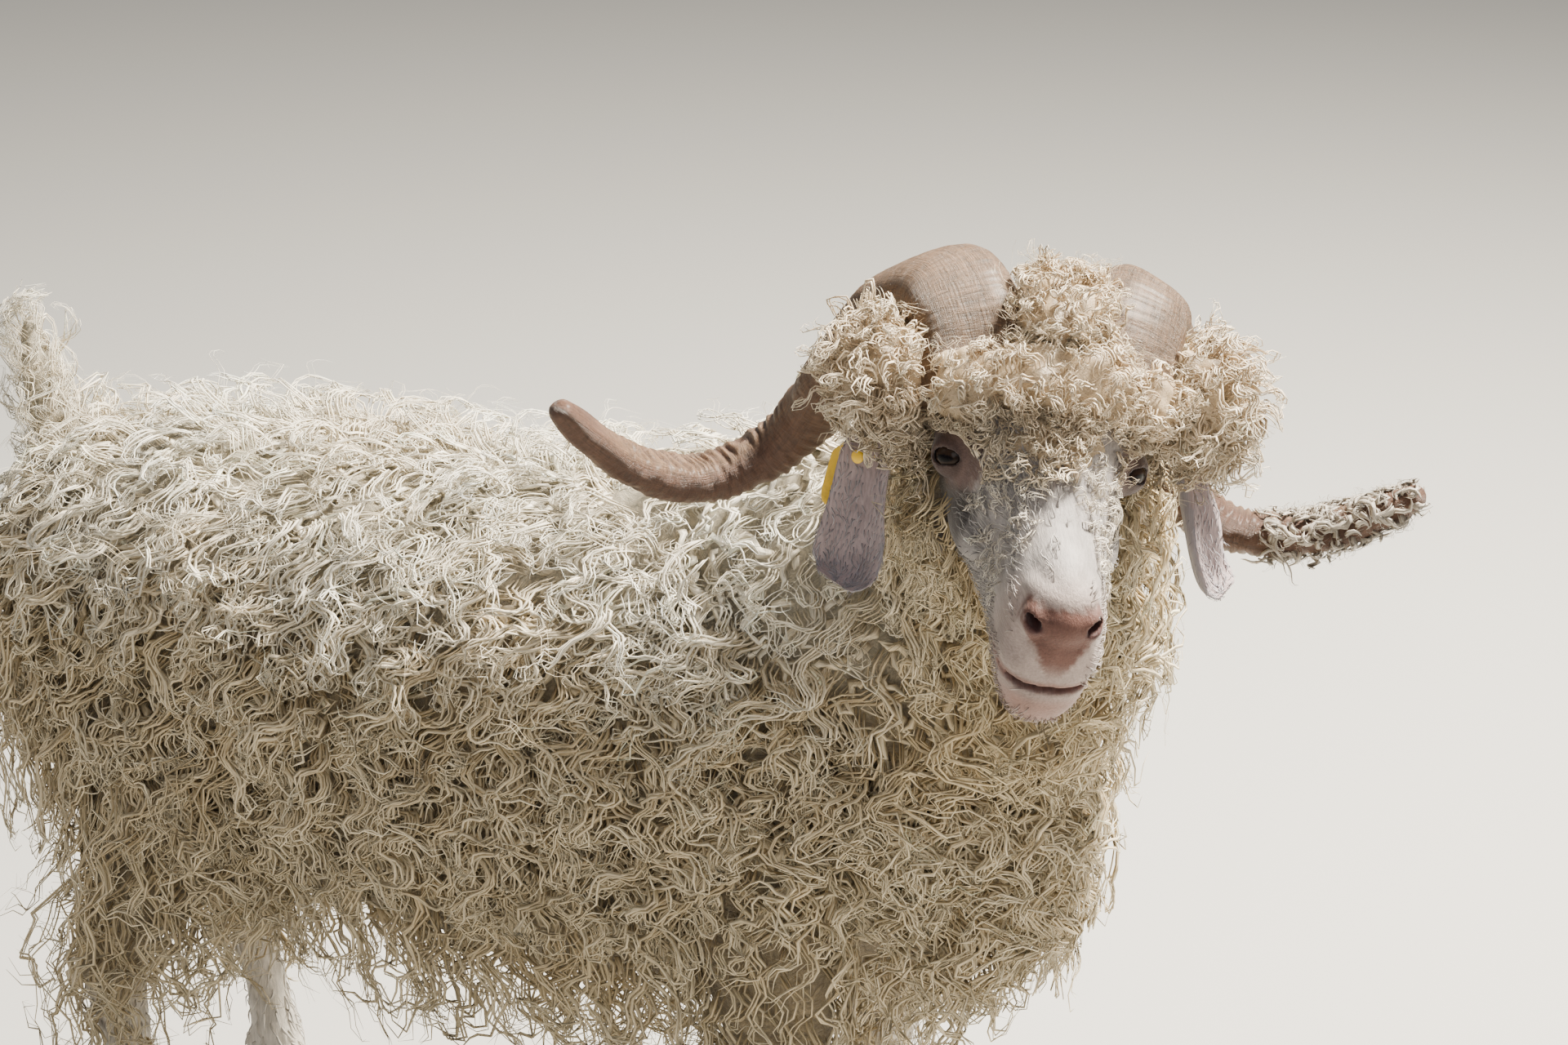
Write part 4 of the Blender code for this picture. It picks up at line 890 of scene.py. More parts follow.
keratin, tree, shader = finish_of("horn", 0.46, Specular_IOR_Level=0.5, Coat_Weight=0.12, Coat_Roughness=0.35)
grain = make(tree, "ShaderNodeAttribute", attribute_name="growth").outputs["Vector"]
streaks = noise(tree, stretched(tree, grain, (9.0, 9.0, 1.6)), 2.0, 7.0, Roughness=0.65, Distortion=1.4)
growth_bands = stretched(tree, grain, (2.4, 2.4, 30.0), (0.5, 0.35, 0))
growth = noise(tree, growth_bands, 1.1, 6.0, Roughness=0.7, Distortion=0.9)
both = sum_of(tree, streaks, growth)
horn_tone = painted_with(tree, "horn_colour", mapped(tree, both, 0.75, 1.25, 0.38, 1.45))
tree.links.new(horn_tone, shader.inputs["Base Color"])
tree.links.new(mapped(tree, streaks, 0.3, 0.7, 0.34, 0.62), shader.inputs["Roughness"])
roughen(tree, shader, both, 0.85, 0.0022)
horn_trees = {side: tree_of(horns[side]) for side in (1, -1)}
for side, hand in HANDS:
    set_up(horns[side], keratin, "horn", "horn_" + hand)


# The hooves: two claws to a foot of dull grey-brown horn, with growth rings round the wall, a harder worn
# edge, and a groove up the middle of the front.
claw_horn, tree, shader = finish_of("claw", 0.55, Specular_IOR_Level=0.4)
here = make(tree, "ShaderNodeTexCoord").outputs["Object"]
wall_rings = noise(tree, stretched(tree, here, (40.0, 40.0, 420.0)), 1.0, 5.0)
tubules = noise(tree, stretched(tree, here, (520.0, 520.0, 26.0)), 1.0, 5.0)
both = sum_of(tree, wall_rings, tubules)
lowered = make(tree, "ShaderNodeMath", {0: both, 1: 0.15}, operation="SUBTRACT").outputs[0]
wall = two_tone(tree, lowered, 0.72, 1.0, (0.085, 0.062, 0.045), (0.27, 0.21, 0.15))
tree.links.new(wall, shader.inputs["Base Color"])
roughen(tree, shader, both, 0.6, 0.0008)
CLAW_SECTIONS = (
    (0.0000, 0.010, 0.0318, 0.0106),
    (0.0016, 0.010, 0.0325, 0.0112),
    (0.0140, 0.008, 0.0320, 0.0115),
    (0.0300, 0.002, 0.0280, 0.0112),
    (0.0437, -0.003, 0.0225, 0.0104),
)
for name, stations in LEGS.items():
    foot = Vector((stations[-1][0], stations[-1][1], 0))
    for where, spread in (("outer", 0.0119), ("inner", -0.0119)):
        rings = []
        for row in range(36):
            z, ahead, half_length, half_width = blend(CLAW_SECTIONS, row / 35)
            swell = 0.00035 * math.sin(z * 1500) + 0.0002 * math.sin(z * 3700)
            ring = []
            for c, s in circle(48):
                dent = 1 - 0.03 * max(0.0, c) ** 30
                length_way = ahead + c * (half_length + swell) * dent
                width_way = math.copysign(spread, foot.y * spread) + squared(s, 0.8) * (half_width + swell)
                ring.append(foot + Vector((length_way, width_way, max(z, 0))))
            rings.append(ring)
        claw = ring_form(f"hoof_{name}_{where}", rings)
        set_up(claw, claw_horn, "claw", f"claw_{name}_{where}")


# The ear tags: a blank flag of yellow plastic behind each ear, on a pin through the ear that ends in a
# round button in front. The flags are moulded with a rim and a thicker eye round the pin.
TAG_FLAG = (0.040, 0.052, 0.0014)
FLAG_LAYERS = (
    *((-0.50, 0.0012), (-0.42, 0.0004), (0.00, 0.0000), (0.42, 0.0004)),
    *((0.50, 0.0012), (0.50, 0.0030), (0.30, 0.0040)),
)
PIN = ((-0.0165, 0.0034), (-0.0135, 0.0034), (-0.0125, 0.0019), (0.0030, 0.0019))
BUTTON = (
    *((0.0000, 0.0030), (0.0004, 0.0046), (0.0018, 0.0048)),
    *((0.0028, 0.0042), (0.0035, 0.0020), (0.0038, 0.0004)),
)
soft_plastic = dict(Specular_IOR_Level=0.5, Subsurface_Weight=0.08, Subsurface_Scale=0.002)
plastic, tree, shader = finish_of("tag_plastic", 0.38, **soft_plastic)
here = make(tree, "ShaderNodeTexCoord").outputs["Object"]
scuffs = noise(tree, here, 260.0, 8.0, Roughness=0.7)
dirt = noise(tree, here, 60.0, 4.0)
yellow = two_tone(tree, sum_of(tree, scuffs, dirt), 0.35, 0.95, (0.42, 0.24, 0.035), (0.90, 0.56, 0.03))
tree.links.new(yellow, shader.inputs["Base Color"])
roughen(tree, shader, scuffs, 0.3, 0.0004)


def disc(name, centre, axis, profile):
    """A turned form: rows of distance along the axis and radius."""
    turn = axis.to_track_quat("Z", "Y").to_matrix()
    rings = []
    for reach, radius in profile:
        rings.append([centre + turn @ Vector((c * radius, s * radius, reach)) for c, s in circle(32)])
    return ring_form(name, rings)


for side, hand in HANDS:
    middle, across, facing, _, _, _ = ear_rows(side, 8)[3]
    hang = across.cross(facing).normalized()
    hang = hang if hang.z < 0 else -hang
    hang = (hang - facing * 0.12).normalized()
    facing = (facing - hang * facing.dot(hang)).normalized()
    hole = middle + across * 0.006
    wide, tall, thick = TAG_FLAG
    centre = hole - facing * 0.015 + hang * (tall / 2 - 0.006) + across * 0.008
    rings = []
    for depth, inset in FLAG_LAYERS:
        ring = []
        for c, s in circle(64):
            x, y = squared(c, 0.35) * (wide / 2 - inset), squared(s, 0.35) * (tall / 2 - inset)
            neck = 1 - 0.35 * step_up(-y / tall, 0.20, 0.48)
            sag = 0.0016 * (x / wide * 2) ** 2
            ring.append(centre + across * x * float(neck) + hang * y + facing * (depth * thick + sag))
        rings.append(ring)
    flag = ring_form("tag_full_" + hand, rings)
    tag = join([flag, disc("pin", hole, facing, PIN), disc("button", hole, facing, BUTTON)])
    set_up(tag, plastic, "tag", "tag_" + hand)


# The fleece: lustrous ivory mohair that hangs from the spine in layers over a dense short under-wool. A
# lock is a broad band of hair with fine strands beside it, waved as one and rolled up at its tip, and every
# lock is rooted in the hide and lies over it.
def unit(ways):
    return ways / np.maximum(np.linalg.norm(ways, axis=-1, keepdims=True), 1e-9)


def dot(a, b):
    return (a * b).sum(axis=-1, keepdims=True)


def nearest_on(tree, places):
    """The nearest points of a surface and the ways that it faces there."""
    spots, ways = np.empty_like(places), np.empty_like(places)
    for i, place in enumerate(places):
        spot, way, _, _ = tree.find_nearest(place)
        spots[i], ways[i] = spot, way
    return spots, unit(ways)


def thinned(spots, keep, gap):
    """The numbers of the kept spots of which none is nearer to another than its gap."""
    widest = float(gap.max())
    shelves, chosen = {}, []
    for k in np.flatnonzero(keep):
        cell = tuple(np.floor(spots[k] / widest).astype(int))
        near = [
            m
            for x in (-1, 0, 1)
            for y in (-1, 0, 1)
            for z in (-1, 0, 1)
            for m in shelves.get((cell[0] + x, cell[1] + y, cell[2] + z), ())
        ]
        if near and ((spots[near] - spots[k]) ** 2).sum(axis=1).min() < gap[k] ** 2:
            continue
        shelves.setdefault(cell, []).append(k)
        chosen.append(k)
    return np.array(chosen)


# Spots tried for each one that fits. Fewer locks make quicker trial renders.
SPARE = 3.2
THINNER = 1.0


def scatter(stations, spacing, tree, first=0.0, last=1.0, start=0.0, end=360.0, allow=None, reach=0.013):
    """Roots strewn evenly over a form: their places, the ways they face, and where they lie on it."""
    ts, angles = np.linspace(first, last, 80), np.radians(np.linspace(start, end, 73))
    grid = np.array([[point_on(stations, t, a) for a in angles] for t in ts])
    corner, onward, round_on = grid[:-1, :-1], grid[1:, :-1], grid[:-1, 1:]
    patch = np.linalg.norm(np.cross(onward - corner, round_on - corner), axis=-1)
    tried = int(SPARE * patch.sum() / spacing**2)
    cells = rng.choice(patch.size, tried, p=patch.ravel() / patch.sum())
    i, j = np.divmod(cells, 72)
    f, g = rng.random((2, tried, 1))
    low = grid[i, j] * (1 - f) + grid[i + 1, j] * f
    high = grid[i, j + 1] * (1 - f) + grid[i + 1, j + 1] * f
    places = low * (1 - g) + high * g
    t = ts[i] + (ts[1] - ts[0]) * f[:, 0]
    angle = angles[j] + (angles[1] - angles[0]) * g[:, 0]
    spots, ways = nearest_on(tree, places)
    keep = np.linalg.norm(spots - places, axis=1) < reach
    if allow is not None:
        keep &= allow(spots, ways, t, angle)
    chosen = thinned(spots, keep, np.full(tried, spacing))
    return spots[chosen], ways[chosen], t[chosen], angle[chosen] / math.tau


def kept_off(places, hollows):
    """Moves points out of round hollows that stay open, those before the eyes."""
    for centre, radius in hollows:
        away = places - np.array(centre)
        far = np.linalg.norm(away, axis=-1, keepdims=True)
        places = np.where(far < radius, np.array(centre) + away / np.maximum(far, 1e-6) * radius, places)
    return places


EYE_HOLLOWS = []
for side in (1, -1):
    along, up, out = eye_axes(side)
    EYE_HOLLOWS.append((eye_centre(side) + out * 0.018 - up * 0.003, 0.023))
    EYE_HOLLOWS.append((eye_centre(side) + out * 0.040 - up * 0.004 + along * 0.012, 0.030))


def comb(roots, outward, lie, length, stand, fall, tree, cling=True, steps=9, sink=0.004, hug=0.0):
    """Lays hair over the hide: paths that leave the root, follow the lie, and turn down as they go. Those
    that cling keep their height over the hide, and free ones only stay out of it. hug pulls short hair
    flat."""
    path, facing = [roots - outward * sink], [outward]
    way = unit(outward * 0.8 + lie * 0.7)
    ways = outward
    stride = (length / steps)[:, None]
    down = np.array(DOWN)
    for k in range(1, steps + 1):
        s = k / steps
        share = np.clip(fall * s * 2.2, 0, 1)[:, None]
        if cling:
            flat_down = unit(down - ways * dot(ways, down) + 1e-6)
            hang = np.where(ways[:, 2:3] < 0.15, down, flat_down)
            target = unit(unit(lie - ways * dot(lie, ways)) * (1 - share) + hang * share)
        else:
            target = unit(unit(lie) * (1 - share) + down * share)
        way = unit(way * 0.42 + target * 0.58)
        place = path[-1] + way * stride
        spots, ways = nearest_on(tree, place)
        height = dot(place - spots, ways)
        if cling:
            wanted = stand[:, None] * (1 - (1 - min(1.0, s * 2.6)) ** 2)
            pull = np.where(ways[:, 2:3] > 0.1, 0.35, hug)
            lift = np.maximum(0, wanted - height) - pull * np.maximum(0, height - wanted)
        else:
            lift = np.maximum(0, 0.004 - height)
        place = kept_off(place + ways * lift, EYE_HOLLOWS)
        way = unit(place - path[-1])
        path.append(place)
        facing.append(ways)
    return np.array(path), np.array(facing)


def read_along(values, place):
    """Rows of a path read between its points, at places from 0 to 1."""
    last = len(values) - 1
    x = np.clip(place, 0, 1) * last
    i = np.minimum(x.astype(int), last - 1)
    f = (x - i)[..., None]
    column = np.broadcast_to(np.arange(values.shape[1]), i.shape)
    return values[i, column] * (1 - f) + values[i + 1, column] * f


def drift(places, size, salt):
    """A smooth wander over the goat from about -1 to 1, so that neighbouring locks curl alike."""
    k = math.tau / size
    a = np.sin(places @ (0.9 * k, 0.3 * k, 0.5 * k) + salt)
    b = np.sin(places @ (-0.4 * k, 0.8 * k, 0.6 * k) + 2 * salt + 1.3 * a)
    return (a + b + np.sin(places @ (0.3 * k, -0.6 * k, 0.9 * k) + 3 * salt + 1.1 * b)) / 2.4


def lock_shapes(path, facing, length, colour_root, colour_tip, patch, make_up):
    """The points, faces, colours and hair grain of locks on their paths. wave is the length of one curl,
    bend how far it swings in radians, hook how far the tip rolls up, band the share of the width that the
    broad strand takes, and fine the half widths of the others. patch is each root's place on the unwrap."""
    count, strands, rings = len(length), make_up["strands"], make_up["rings"]
    picked = ("width", "wave", "bend", "hook")
    width, wave, bend, hook = (rng.uniform(*make_up[key], count) for key in picked)
    which = np.repeat(np.arange(count), strands)
    total = len(which)
    broad = (np.arange(total) % strands == 0) & (make_up["band"] > 0)
    s = (np.linspace(0, 1, rings) ** 0.9)[:, None]
    own_length = length[which] * np.where(broad, 1.0, rng.uniform(0.86, 1.04, total))
    room = 4.5 * np.mean(make_up["width"]) + 0.02
    phase = math.tau * drift(path[0], room, 1.0) + rng.normal(0, 0.35, count)
    phase = phase[which] + rng.normal(0, 0.07, total)
    swing = bend[which] * rng.uniform(0.95, 1.06, total)
    curl_to = np.where(drift(path[0], room * 1.3, 2.0) + rng.normal(0, 0.3, count) > 0, 1, -1)
    roll = (hook * curl_to)[which] * rng.uniform(0.92, 1.08, total)
    pace = (math.tau * own_length / wave[which]) * rng.uniform(0.985, 1.015, total)
    ramp = np.clip(s / 0.25, 0.15, 1)
    turn = swing * ramp * np.sin(pace * s * (1 + 0.25 * s) + phase)
    turn = turn + roll * np.clip((s - 0.52) / 0.48, 0, 1) ** 1.4
    lift = make_up.get("rise", 0.28) * swing * ramp * np.cos(pace * s * (1 + 0.25 * s) + phase + 0.6)
    step = np.diff(s, axis=0, prepend=0) * own_length
    ahead = np.cumsum(np.cos(turn) * np.cos(lift) * step, axis=0)
    aside = np.cumsum(np.sin(turn) * np.cos(lift) * step, axis=0)
    above = np.cumsum(np.sin(lift) * step, axis=0)
    guide = path[:, which]
    guide_way = unit(np.gradient(guide, axis=0))
    guide_side = unit(np.cross(guide_way, facing[:, which]))
    guide_out = np.cross(guide_side, guide_way)
    place = ahead / length[which]
    centre = read_along(guide, place)
    side_way, out_way = unit(read_along(guide_side, place)), unit(read_along(guide_out, place))
    half_lock = width[which] / 2
    home = (2 * (np.arange(total) % strands) + rng.uniform(0.5, 1.5, total)) / strands - 1
    spread = np.where(broad, 0, half_lock) * (1 - 0.60 * s**2)
    offset_side = spread * (home + 0.12 * np.sin(pace * s * 0.6 + phase))
    offset_out = spread * (0.42 * (1 - home**2) + 0.15 * np.sin(pace * s * 0.8 + home * 9))
    swung = side_way * (aside + offset_side)[..., None] + out_way * (above + offset_out)[..., None]
    centre = kept_off(centre + swung, EYE_HOLLOWS)
    way = unit(np.gradient(centre, axis=0))
    across = unit(np.cross(way, out_way) + 1e-9)
    through = np.cross(across, way)
    half = np.where(broad, half_lock * make_up["band"], rng.uniform(*make_up["fine"], total))
    half = half * (0.55 + 0.45 * np.clip(s / 0.16, 0, 1)) * (1 - 0.90 * s**2.8)
    flat = np.where(broad, 0.40, 0.60)
    tilt = math.pi / 2 + rng.normal(0, 0.22, total) + 0.40 * turn
    angles = math.tau * np.arange(3) / 3
    x = np.cos(angles + tilt[..., None]) * half[..., None]
    y = np.sin(angles + tilt[..., None]) * (half * flat)[..., None]
    ring = centre[..., None, :] + across[..., None, :] * x[..., None] + through[..., None, :] * y[..., None]
    corner = np.arange(3)
    starts = (np.arange(total)[:, None] * rings + np.arange(rings - 1))[..., None] * 3
    a, b = starts + corner, starts + (corner + 1) % 3
    walls = np.stack([a, a + 3, b + 3, b], axis=-1).reshape(-1, 4)
    first = np.arange(total)[:, None] * rings * 3
    ends = np.concatenate([first + corner, first + (rings - 1) * 3 + corner[::-1]])
    strength = rng.normal(1.0, 0.05, count)[which] * rng.normal(1.0, 0.09, total)
    mix = (s**0.8)[:, :, None]
    shades = (colour_root[which] * (1 - mix) + colour_tip[which] * mix) * strength[None, :, None]
    shades = np.broadcast_to(shades[:, :, None, :], ring.shape).transpose(1, 0, 2, 3)
    seed = rng.uniform(0, 60, total)[:, None, None]
    grain_way = (
        (x * 1000).transpose(1, 0, 2) + seed,
        (y * 1000).transpose(1, 0, 2) + seed * 0.37,
        np.broadcast_to((s * own_length * 55).T[:, :, None], (total, rings, 3)) + seed,
    )
    u = patch[which, 0][:, None, None] + 0.0013 * np.cos(angles)
    v = patch[which, 1][:, None, None] + 0.003 * (s.T[:, :, None] - 0.5)
    u, v = np.broadcast_arrays(u, v)
    return dict(
        places=ring.transpose(1, 0, 2, 3).reshape(-1, 3),
        walls=walls,
        ends=ends,
        shades=np.clip(shades.reshape(-1, 3), 0.005, 0.95),
        grain=np.stack(grain_way, axis=-1).reshape(-1, 3),
        unwrap=np.clip(np.stack([u, v], axis=-1).reshape(-1, 2), 0, 1),
    )


def wool_piece(name, batches, slot="fleece"):
    """Joins locks into one piece of the coat."""
    starts = np.cumsum([0] + [len(batch["places"]) for batch in batches])
    walls = np.concatenate([batch["walls"] + start for batch, start in zip(batches, starts)])
    ends = np.concatenate([batch["ends"] + start for batch, start in zip(batches, starts)])
    places, shades, grain_way, unwrap = (
        np.concatenate([batch[key] for batch in batches]) for key in ("places", "shades", "grain", "unwrap")
    )
    corners = np.concatenate([walls.ravel(), ends.ravel()]).astype(np.int32)
    sizes = np.concatenate([np.full(len(walls), 4), np.full(len(ends), 3)]).astype(np.int32)
    mesh = bpy.data.meshes.new(name)
    mesh.vertices.add(len(places))
    mesh.vertices.foreach_set("co", places.astype(np.float32).ravel())
    mesh.loops.add(len(corners))
    mesh.loops.foreach_set("vertex_index", corners)
    mesh.polygons.add(len(sizes))
    mesh.polygons.foreach_set("loop_start", np.concatenate([[0], np.cumsum(sizes)[:-1]]).astype(np.int32))
    mesh.update(calc_edges=True)
    paint(mesh, "wool_colour", shades)
    give_ways(mesh, "strand", grain_way)
    layer = mesh.uv_layers.new(name="OFBake")
    layer.data.foreach_set("uv", unwrap[corners].astype(np.float32).ravel())
    piece = bpy.data.objects.new(name, mesh)
    bpy.context.scene.collection.objects.link(piece)
    set_up(piece, mohair, slot)


silky = dict(Sheen_Weight=0.10, Sheen_Roughness=0.30, Specular_IOR_Level=0.6)
mohair, tree, shader = finish_of("mohair", 0.36, **silky)
shader.inputs["Sheen Tint"].default_value = (1.0, 0.93, 0.80, 1)
grain = make(tree, "ShaderNodeAttribute", attribute_name="strand").outputs["Vector"]
hairs = noise(tree, grain, 0.95, 3.0, Roughness=0.6)
wool_shade = painted_with(tree, "wool_colour", mapped(tree, hairs, 0.30, 0.70, 0.60, 1.22))
tree.links.new(wool_shade, shader.inputs["Base Color"])
tree.links.new(mapped(tree, hairs, 0.3, 0.7, 0.56, 0.36), shader.inputs["Roughness"])
roughen(tree, shader, hairs, 0.5, 0.0008)


def both_over(root, tip, root_colour, tip_colour, share):
    """Paints over the root and the tip colours alike."""
    return over(root, root_colour, share), over(tip, tip_colour, share)


def wool_tones(places):
    """Root and tip colours of the wool: tan at the root, ivory at the tip, whiter on the back with painted
    light, honey under the chin, and darker gold low down, partly painted shade."""
    x, y, z = places.T
    root, tip = all_over((0.60, 0.45, 0.24), places), all_over((0.92, 0.81, 0.58), places)
    from_throat = (places - np.array(in_head(0.06, 0, -0.21))) / (0.16, 0.16, 0.13)
    honey = step_up(-np.linalg.norm(from_throat, axis=1), -1.3, -0.5)
    root, tip = both_over(root, tip, (0.42, 0.29, 0.13), (0.70, 0.56, 0.32), honey * 0.8)
    # Whiter on the back: painted light, where the key light falls on the top of the goat.
    high = step_up(z, 0.60, 0.70) * step_up(-x, -0.38, -0.24)
    root, tip = both_over(root, tip, (0.86, 0.78, 0.61), (0.95, 0.92, 0.82), high)
    # Lower down the wool is more golden, and darker with painted shade.
    low = step_up(-z, -0.62, -0.34)
    root, tip = both_over(root, tip, (0.33, 0.245, 0.125), (0.56, 0.475, 0.31), low * 0.8)
    patchy = 0.5 + 0.5 * np.sin(x * 23 + 2 * np.sin(z * 17)) * np.sin(y * 19 + z * 11)
    return both_over(root, tip, (0.52, 0.37, 0.18), (0.80, 0.67, 0.43), patchy * 0.35)


def turned(ways, axis, angle):
    """Ways turned about an axis, each by its own angle."""
    c, s = np.cos(angle)[:, None], np.sin(angle)[:, None]
    return ways * c + np.cross(axis, ways) * s + axis * dot(axis, ways) * (1 - c)


def unwrap_of(t, round_it, low=0.0, high=1.0):
    """A place on the form's unwrap: along it and round it."""
    return np.column_stack([low + (high - low) * (0.01 + 0.98 * t), 0.01 + 0.98 * (round_it % 1.0)])


def grown(roots, lie_of, make_up, tree, tones=wool_tones, strip=(0.0, 1.0), cling=True):
    """Locks on their roots. lie_of gives the way that each sets off from its place and outward way."""
    spots, outward, t, round_it = roots
    count = len(spots)
    sway = 1.3 * drift(spots, 6 * np.mean(make_up["width"]) + 0.02, 5.0) + rng.normal(0, 0.4, count)
    lie = turned(unit(lie_of(spots, outward)), outward, make_up["stray"] * sway)
    length, stand = rng.uniform(*make_up["length"], count), rng.uniform(*make_up["stand"], count)
    fall = np.full(count, make_up["fall"])
    short = dict(steps=4, sink=0.0008, hug=0.7) if make_up["rings"] < 6 else {}
    path, facing = comb(spots, outward, lie, length, stand, fall, tree, cling, **short)
    root, tip = tones(spots)
    return lock_shapes(path, facing, length, root, tip, unwrap_of(t, round_it, *strip), make_up)


def down_hide(roots, outward):
    """Down over the hide and a little towards the tail, and straight down from hide that faces down."""
    down = np.array(DOWN)
    lie = unit(down - outward * dot(outward, down) + (-0.10, 0, 0))
    under = outward[:, 2:3] < -0.15
    return np.where(under, unit(down + outward * 0.3), lie)


# How each kind of lock is made up. Lengths, widths, waves, stands over the hide and fine half widths are in
# metres, and bends and hooks in radians. stray and fall say how far locks part and how soon they hang.
UNDER = dict(
    length=(0.032, 0.052), width=(0.011, 0.017), wave=(0.03, 0.05), bend=(0.7, 1.3), hook=(0.5, 3.0),
    stand=(0.002, 0.010), stray=1.3, fall=0.3, strands=1, rings=6, band=0.66, fine=(0.001, 0.0015),
)
FLANK = dict(
    length=(0.105, 0.155), width=(0.011, 0.019), wave=(0.060, 0.095), bend=(1.0, 1.7), hook=(2.0, 6.0),
    stand=(0.006, 0.030), stray=0.40, fall=0.80, strands=4, rings=14, band=0, fine=(0.0007, 0.0023),
)
BACK = dict(
    FLANK, length=(0.070, 0.110), wave=(0.056, 0.090), bend=(0.8, 1.4), hook=(0.6, 4.6),
    stand=(0.008, 0.036), stray=1.0, fall=0.25, rings=11, fine=(0.0006, 0.0014),
)
BELLY = dict(
    FLANK, length=(0.15, 0.21), bend=(0.7, 1.3), hook=(0.6, 3.4), stray=0.25, fall=1.0, strands=3, rings=13,
)
BREAST = dict(
    FLANK, length=(0.13, 0.18), width=(0.012, 0.019), wave=(0.066, 0.100), bend=(0.9, 1.6), hook=(1.5, 5.5),
    stray=0.3, fall=1.0, rings=13,
)
NAPE = dict(
    FLANK, length=(0.08, 0.12), wave=(0.056, 0.084), bend=(0.9, 1.6), stray=0.6, fall=0.6, rings=13,
    fine=(0.0008, 0.0015),
)


def fleece(name, places, make_up, spacing, under_spacing=0.0155):
    """A piece of the coat over stretches of the body: under-wool and the long locks above it."""
    batches = []
    for stations, first, last, start, end in places:
        roots = scatter(stations, under_spacing * THINNER, body_tree, first, last, start, end)
        batches.append(grown(roots, down_hide, UNDER, body_tree))
        roots = scatter(stations, spacing * THINNER, body_tree, first, last, start, end)
        batches.append(grown(roots, down_hide, make_up, body_tree))
    wool_piece(name, batches)


fleece("fleece_back", [(TRUNK, 0.02, 0.90, 52, 128)], BACK, 0.0121, 0.0145)
fleece("fleece_flank_right_rear", [(TRUNK, 0.02, 0.46, 128, 200)], FLANK, 0.0124)
fleece("fleece_flank_right_front", [(TRUNK, 0.46, 0.90, 128, 200)], FLANK, 0.0124)
fleece("fleece_flank_left_rear", [(TRUNK, 0.02, 0.46, -20, 52)], FLANK, 0.0185)
fleece("fleece_flank_left_front", [(TRUNK, 0.46, 0.90, -20, 52)], FLANK, 0.0185)
fleece("fleece_belly_right", [(TRUNK, 0.02, 0.90, 200, 270)], BELLY, 0.0225)
fleece("fleece_belly_left", [(TRUNK, 0.02, 0.90, 270, 340)], BELLY, 0.0260)


def blunt_end(level, *rows):
    """Stations over a blunt end of the trunk: a place along it, half width, and reach up and down."""
    return [station((x, 0, level), (0, 1, 0), (0, 0, 1), half, up, down) for x, half, up, down in rows]


CHEST = blunt_end(
    0.515, (0.433, 0.005, 0.006, 0.008), (0.428, 0.050, 0.060, 0.084), (0.395, 0.078, 0.088, 0.116)
)
breast_places = [(TRUNK, 0.82, 1.0, 150, 390), (NECK, 0.2, 0.98, 180, 360), (CHEST, 0.0, 1.0, 0, 360)]
fleece("fleece_breast", breast_places, BREAST, 0.0185)
fleece("fleece_nape", [(NECK, 0.12, 0.98, 0, 180)], NAPE, 0.0190)


def off_rump(roots, outward):
    """Out behind the rump first, and then down."""
    return down_hide(roots, outward) + outward * 0.5 + (-0.35, 0, 0)


STOCKING = dict(
    FLANK, length=(0.080, 0.130), width=(0.011, 0.017), wave=(0.050, 0.080), bend=(0.6, 1.2), hook=(0.5, 3.0),
    stand=(0.005, 0.014), stray=0.25, fall=1.0, strands=3, rings=11,
)
stockings = []
for k, (name, stations) in enumerate(LEGS.items()):
    wool_ends = 0.50 if "fore" in name else 0.58
    roots = scatter(stations, 0.0182 * THINNER, body_tree, 0.02, wool_ends, reach=0.035)
    stockings.append(grown(roots, down_hide, STOCKING, body_tree, strip=(k / 4, (k + 1) / 4)))
wool_piece("fleece_legs", stockings)

BREECHES = dict(BELLY, length=(0.19, 0.27), stand=(0.010, 0.055), rings=14, hook=(1.0, 4.5))
RUMP = blunt_end(
    0.570, (-0.496, 0.006, 0.008, 0.010), (-0.490, 0.050, 0.058, 0.080), (-0.455, 0.105, 0.112, 0.140)
)
rump_under = scatter(RUMP, 0.0125 * THINNER, body_tree, reach=0.05)
rump_locks = scatter(RUMP, 0.0150 * THINNER, body_tree, reach=0.05)
RUMP_LOCKS = dict(FLANK, length=(0.11, 0.17), stand=(0.010, 0.040), rings=13)
breeches = [grown(rump_under, down_hide, UNDER, body_tree)]
breeches.append(grown(rump_locks, off_rump, RUMP_LOCKS, body_tree))
thighs = [(LEGS[name], 0.30, 0, 360) for name in ("hind_right", "hind_left")]
for k, (stations, last, start, end) in enumerate([(TRUNK, 0.16, 150, 390), *thighs]):
    roots = scatter(stations, 0.0255 * THINNER, body_tree, 0.0, last, start, end, reach=0.06)
    breeches.append(grown(roots, off_rump, BREECHES, body_tree, strip=(k / 3, (k + 1) / 3)))
wool_piece("fleece_breeches", breeches)


def up_tail(roots, outward):
    return unit(np.array((-0.22, 0.0, 1.0)) + outward * 0.22)


BRUSH = dict(
    BACK, length=(0.060, 0.105), width=(0.008, 0.013), stand=(0.002, 0.016), stray=0.35, fall=0.0,
    fine=(0.0003, 0.0008),
)
wool_piece("fleece_tail", [grown(scatter(TAIL, 0.0085, body_tree, 0.1, 1.0), up_tail, BRUSH, body_tree)])

WISPS = dict(
    length=(0.050, 0.095), width=(0.006, 0.012), wave=(0.040, 0.080), bend=(0.5, 1.2), hook=(0.5, 4.5),
    stand=(0.024, 0.056), stray=1.2, fall=0.25, strands=2, rings=10, band=0, fine=(0.00014, 0.00034),
)


def off_hide(roots, outward):
    return outward * 0.6 + down_hide(roots, outward)


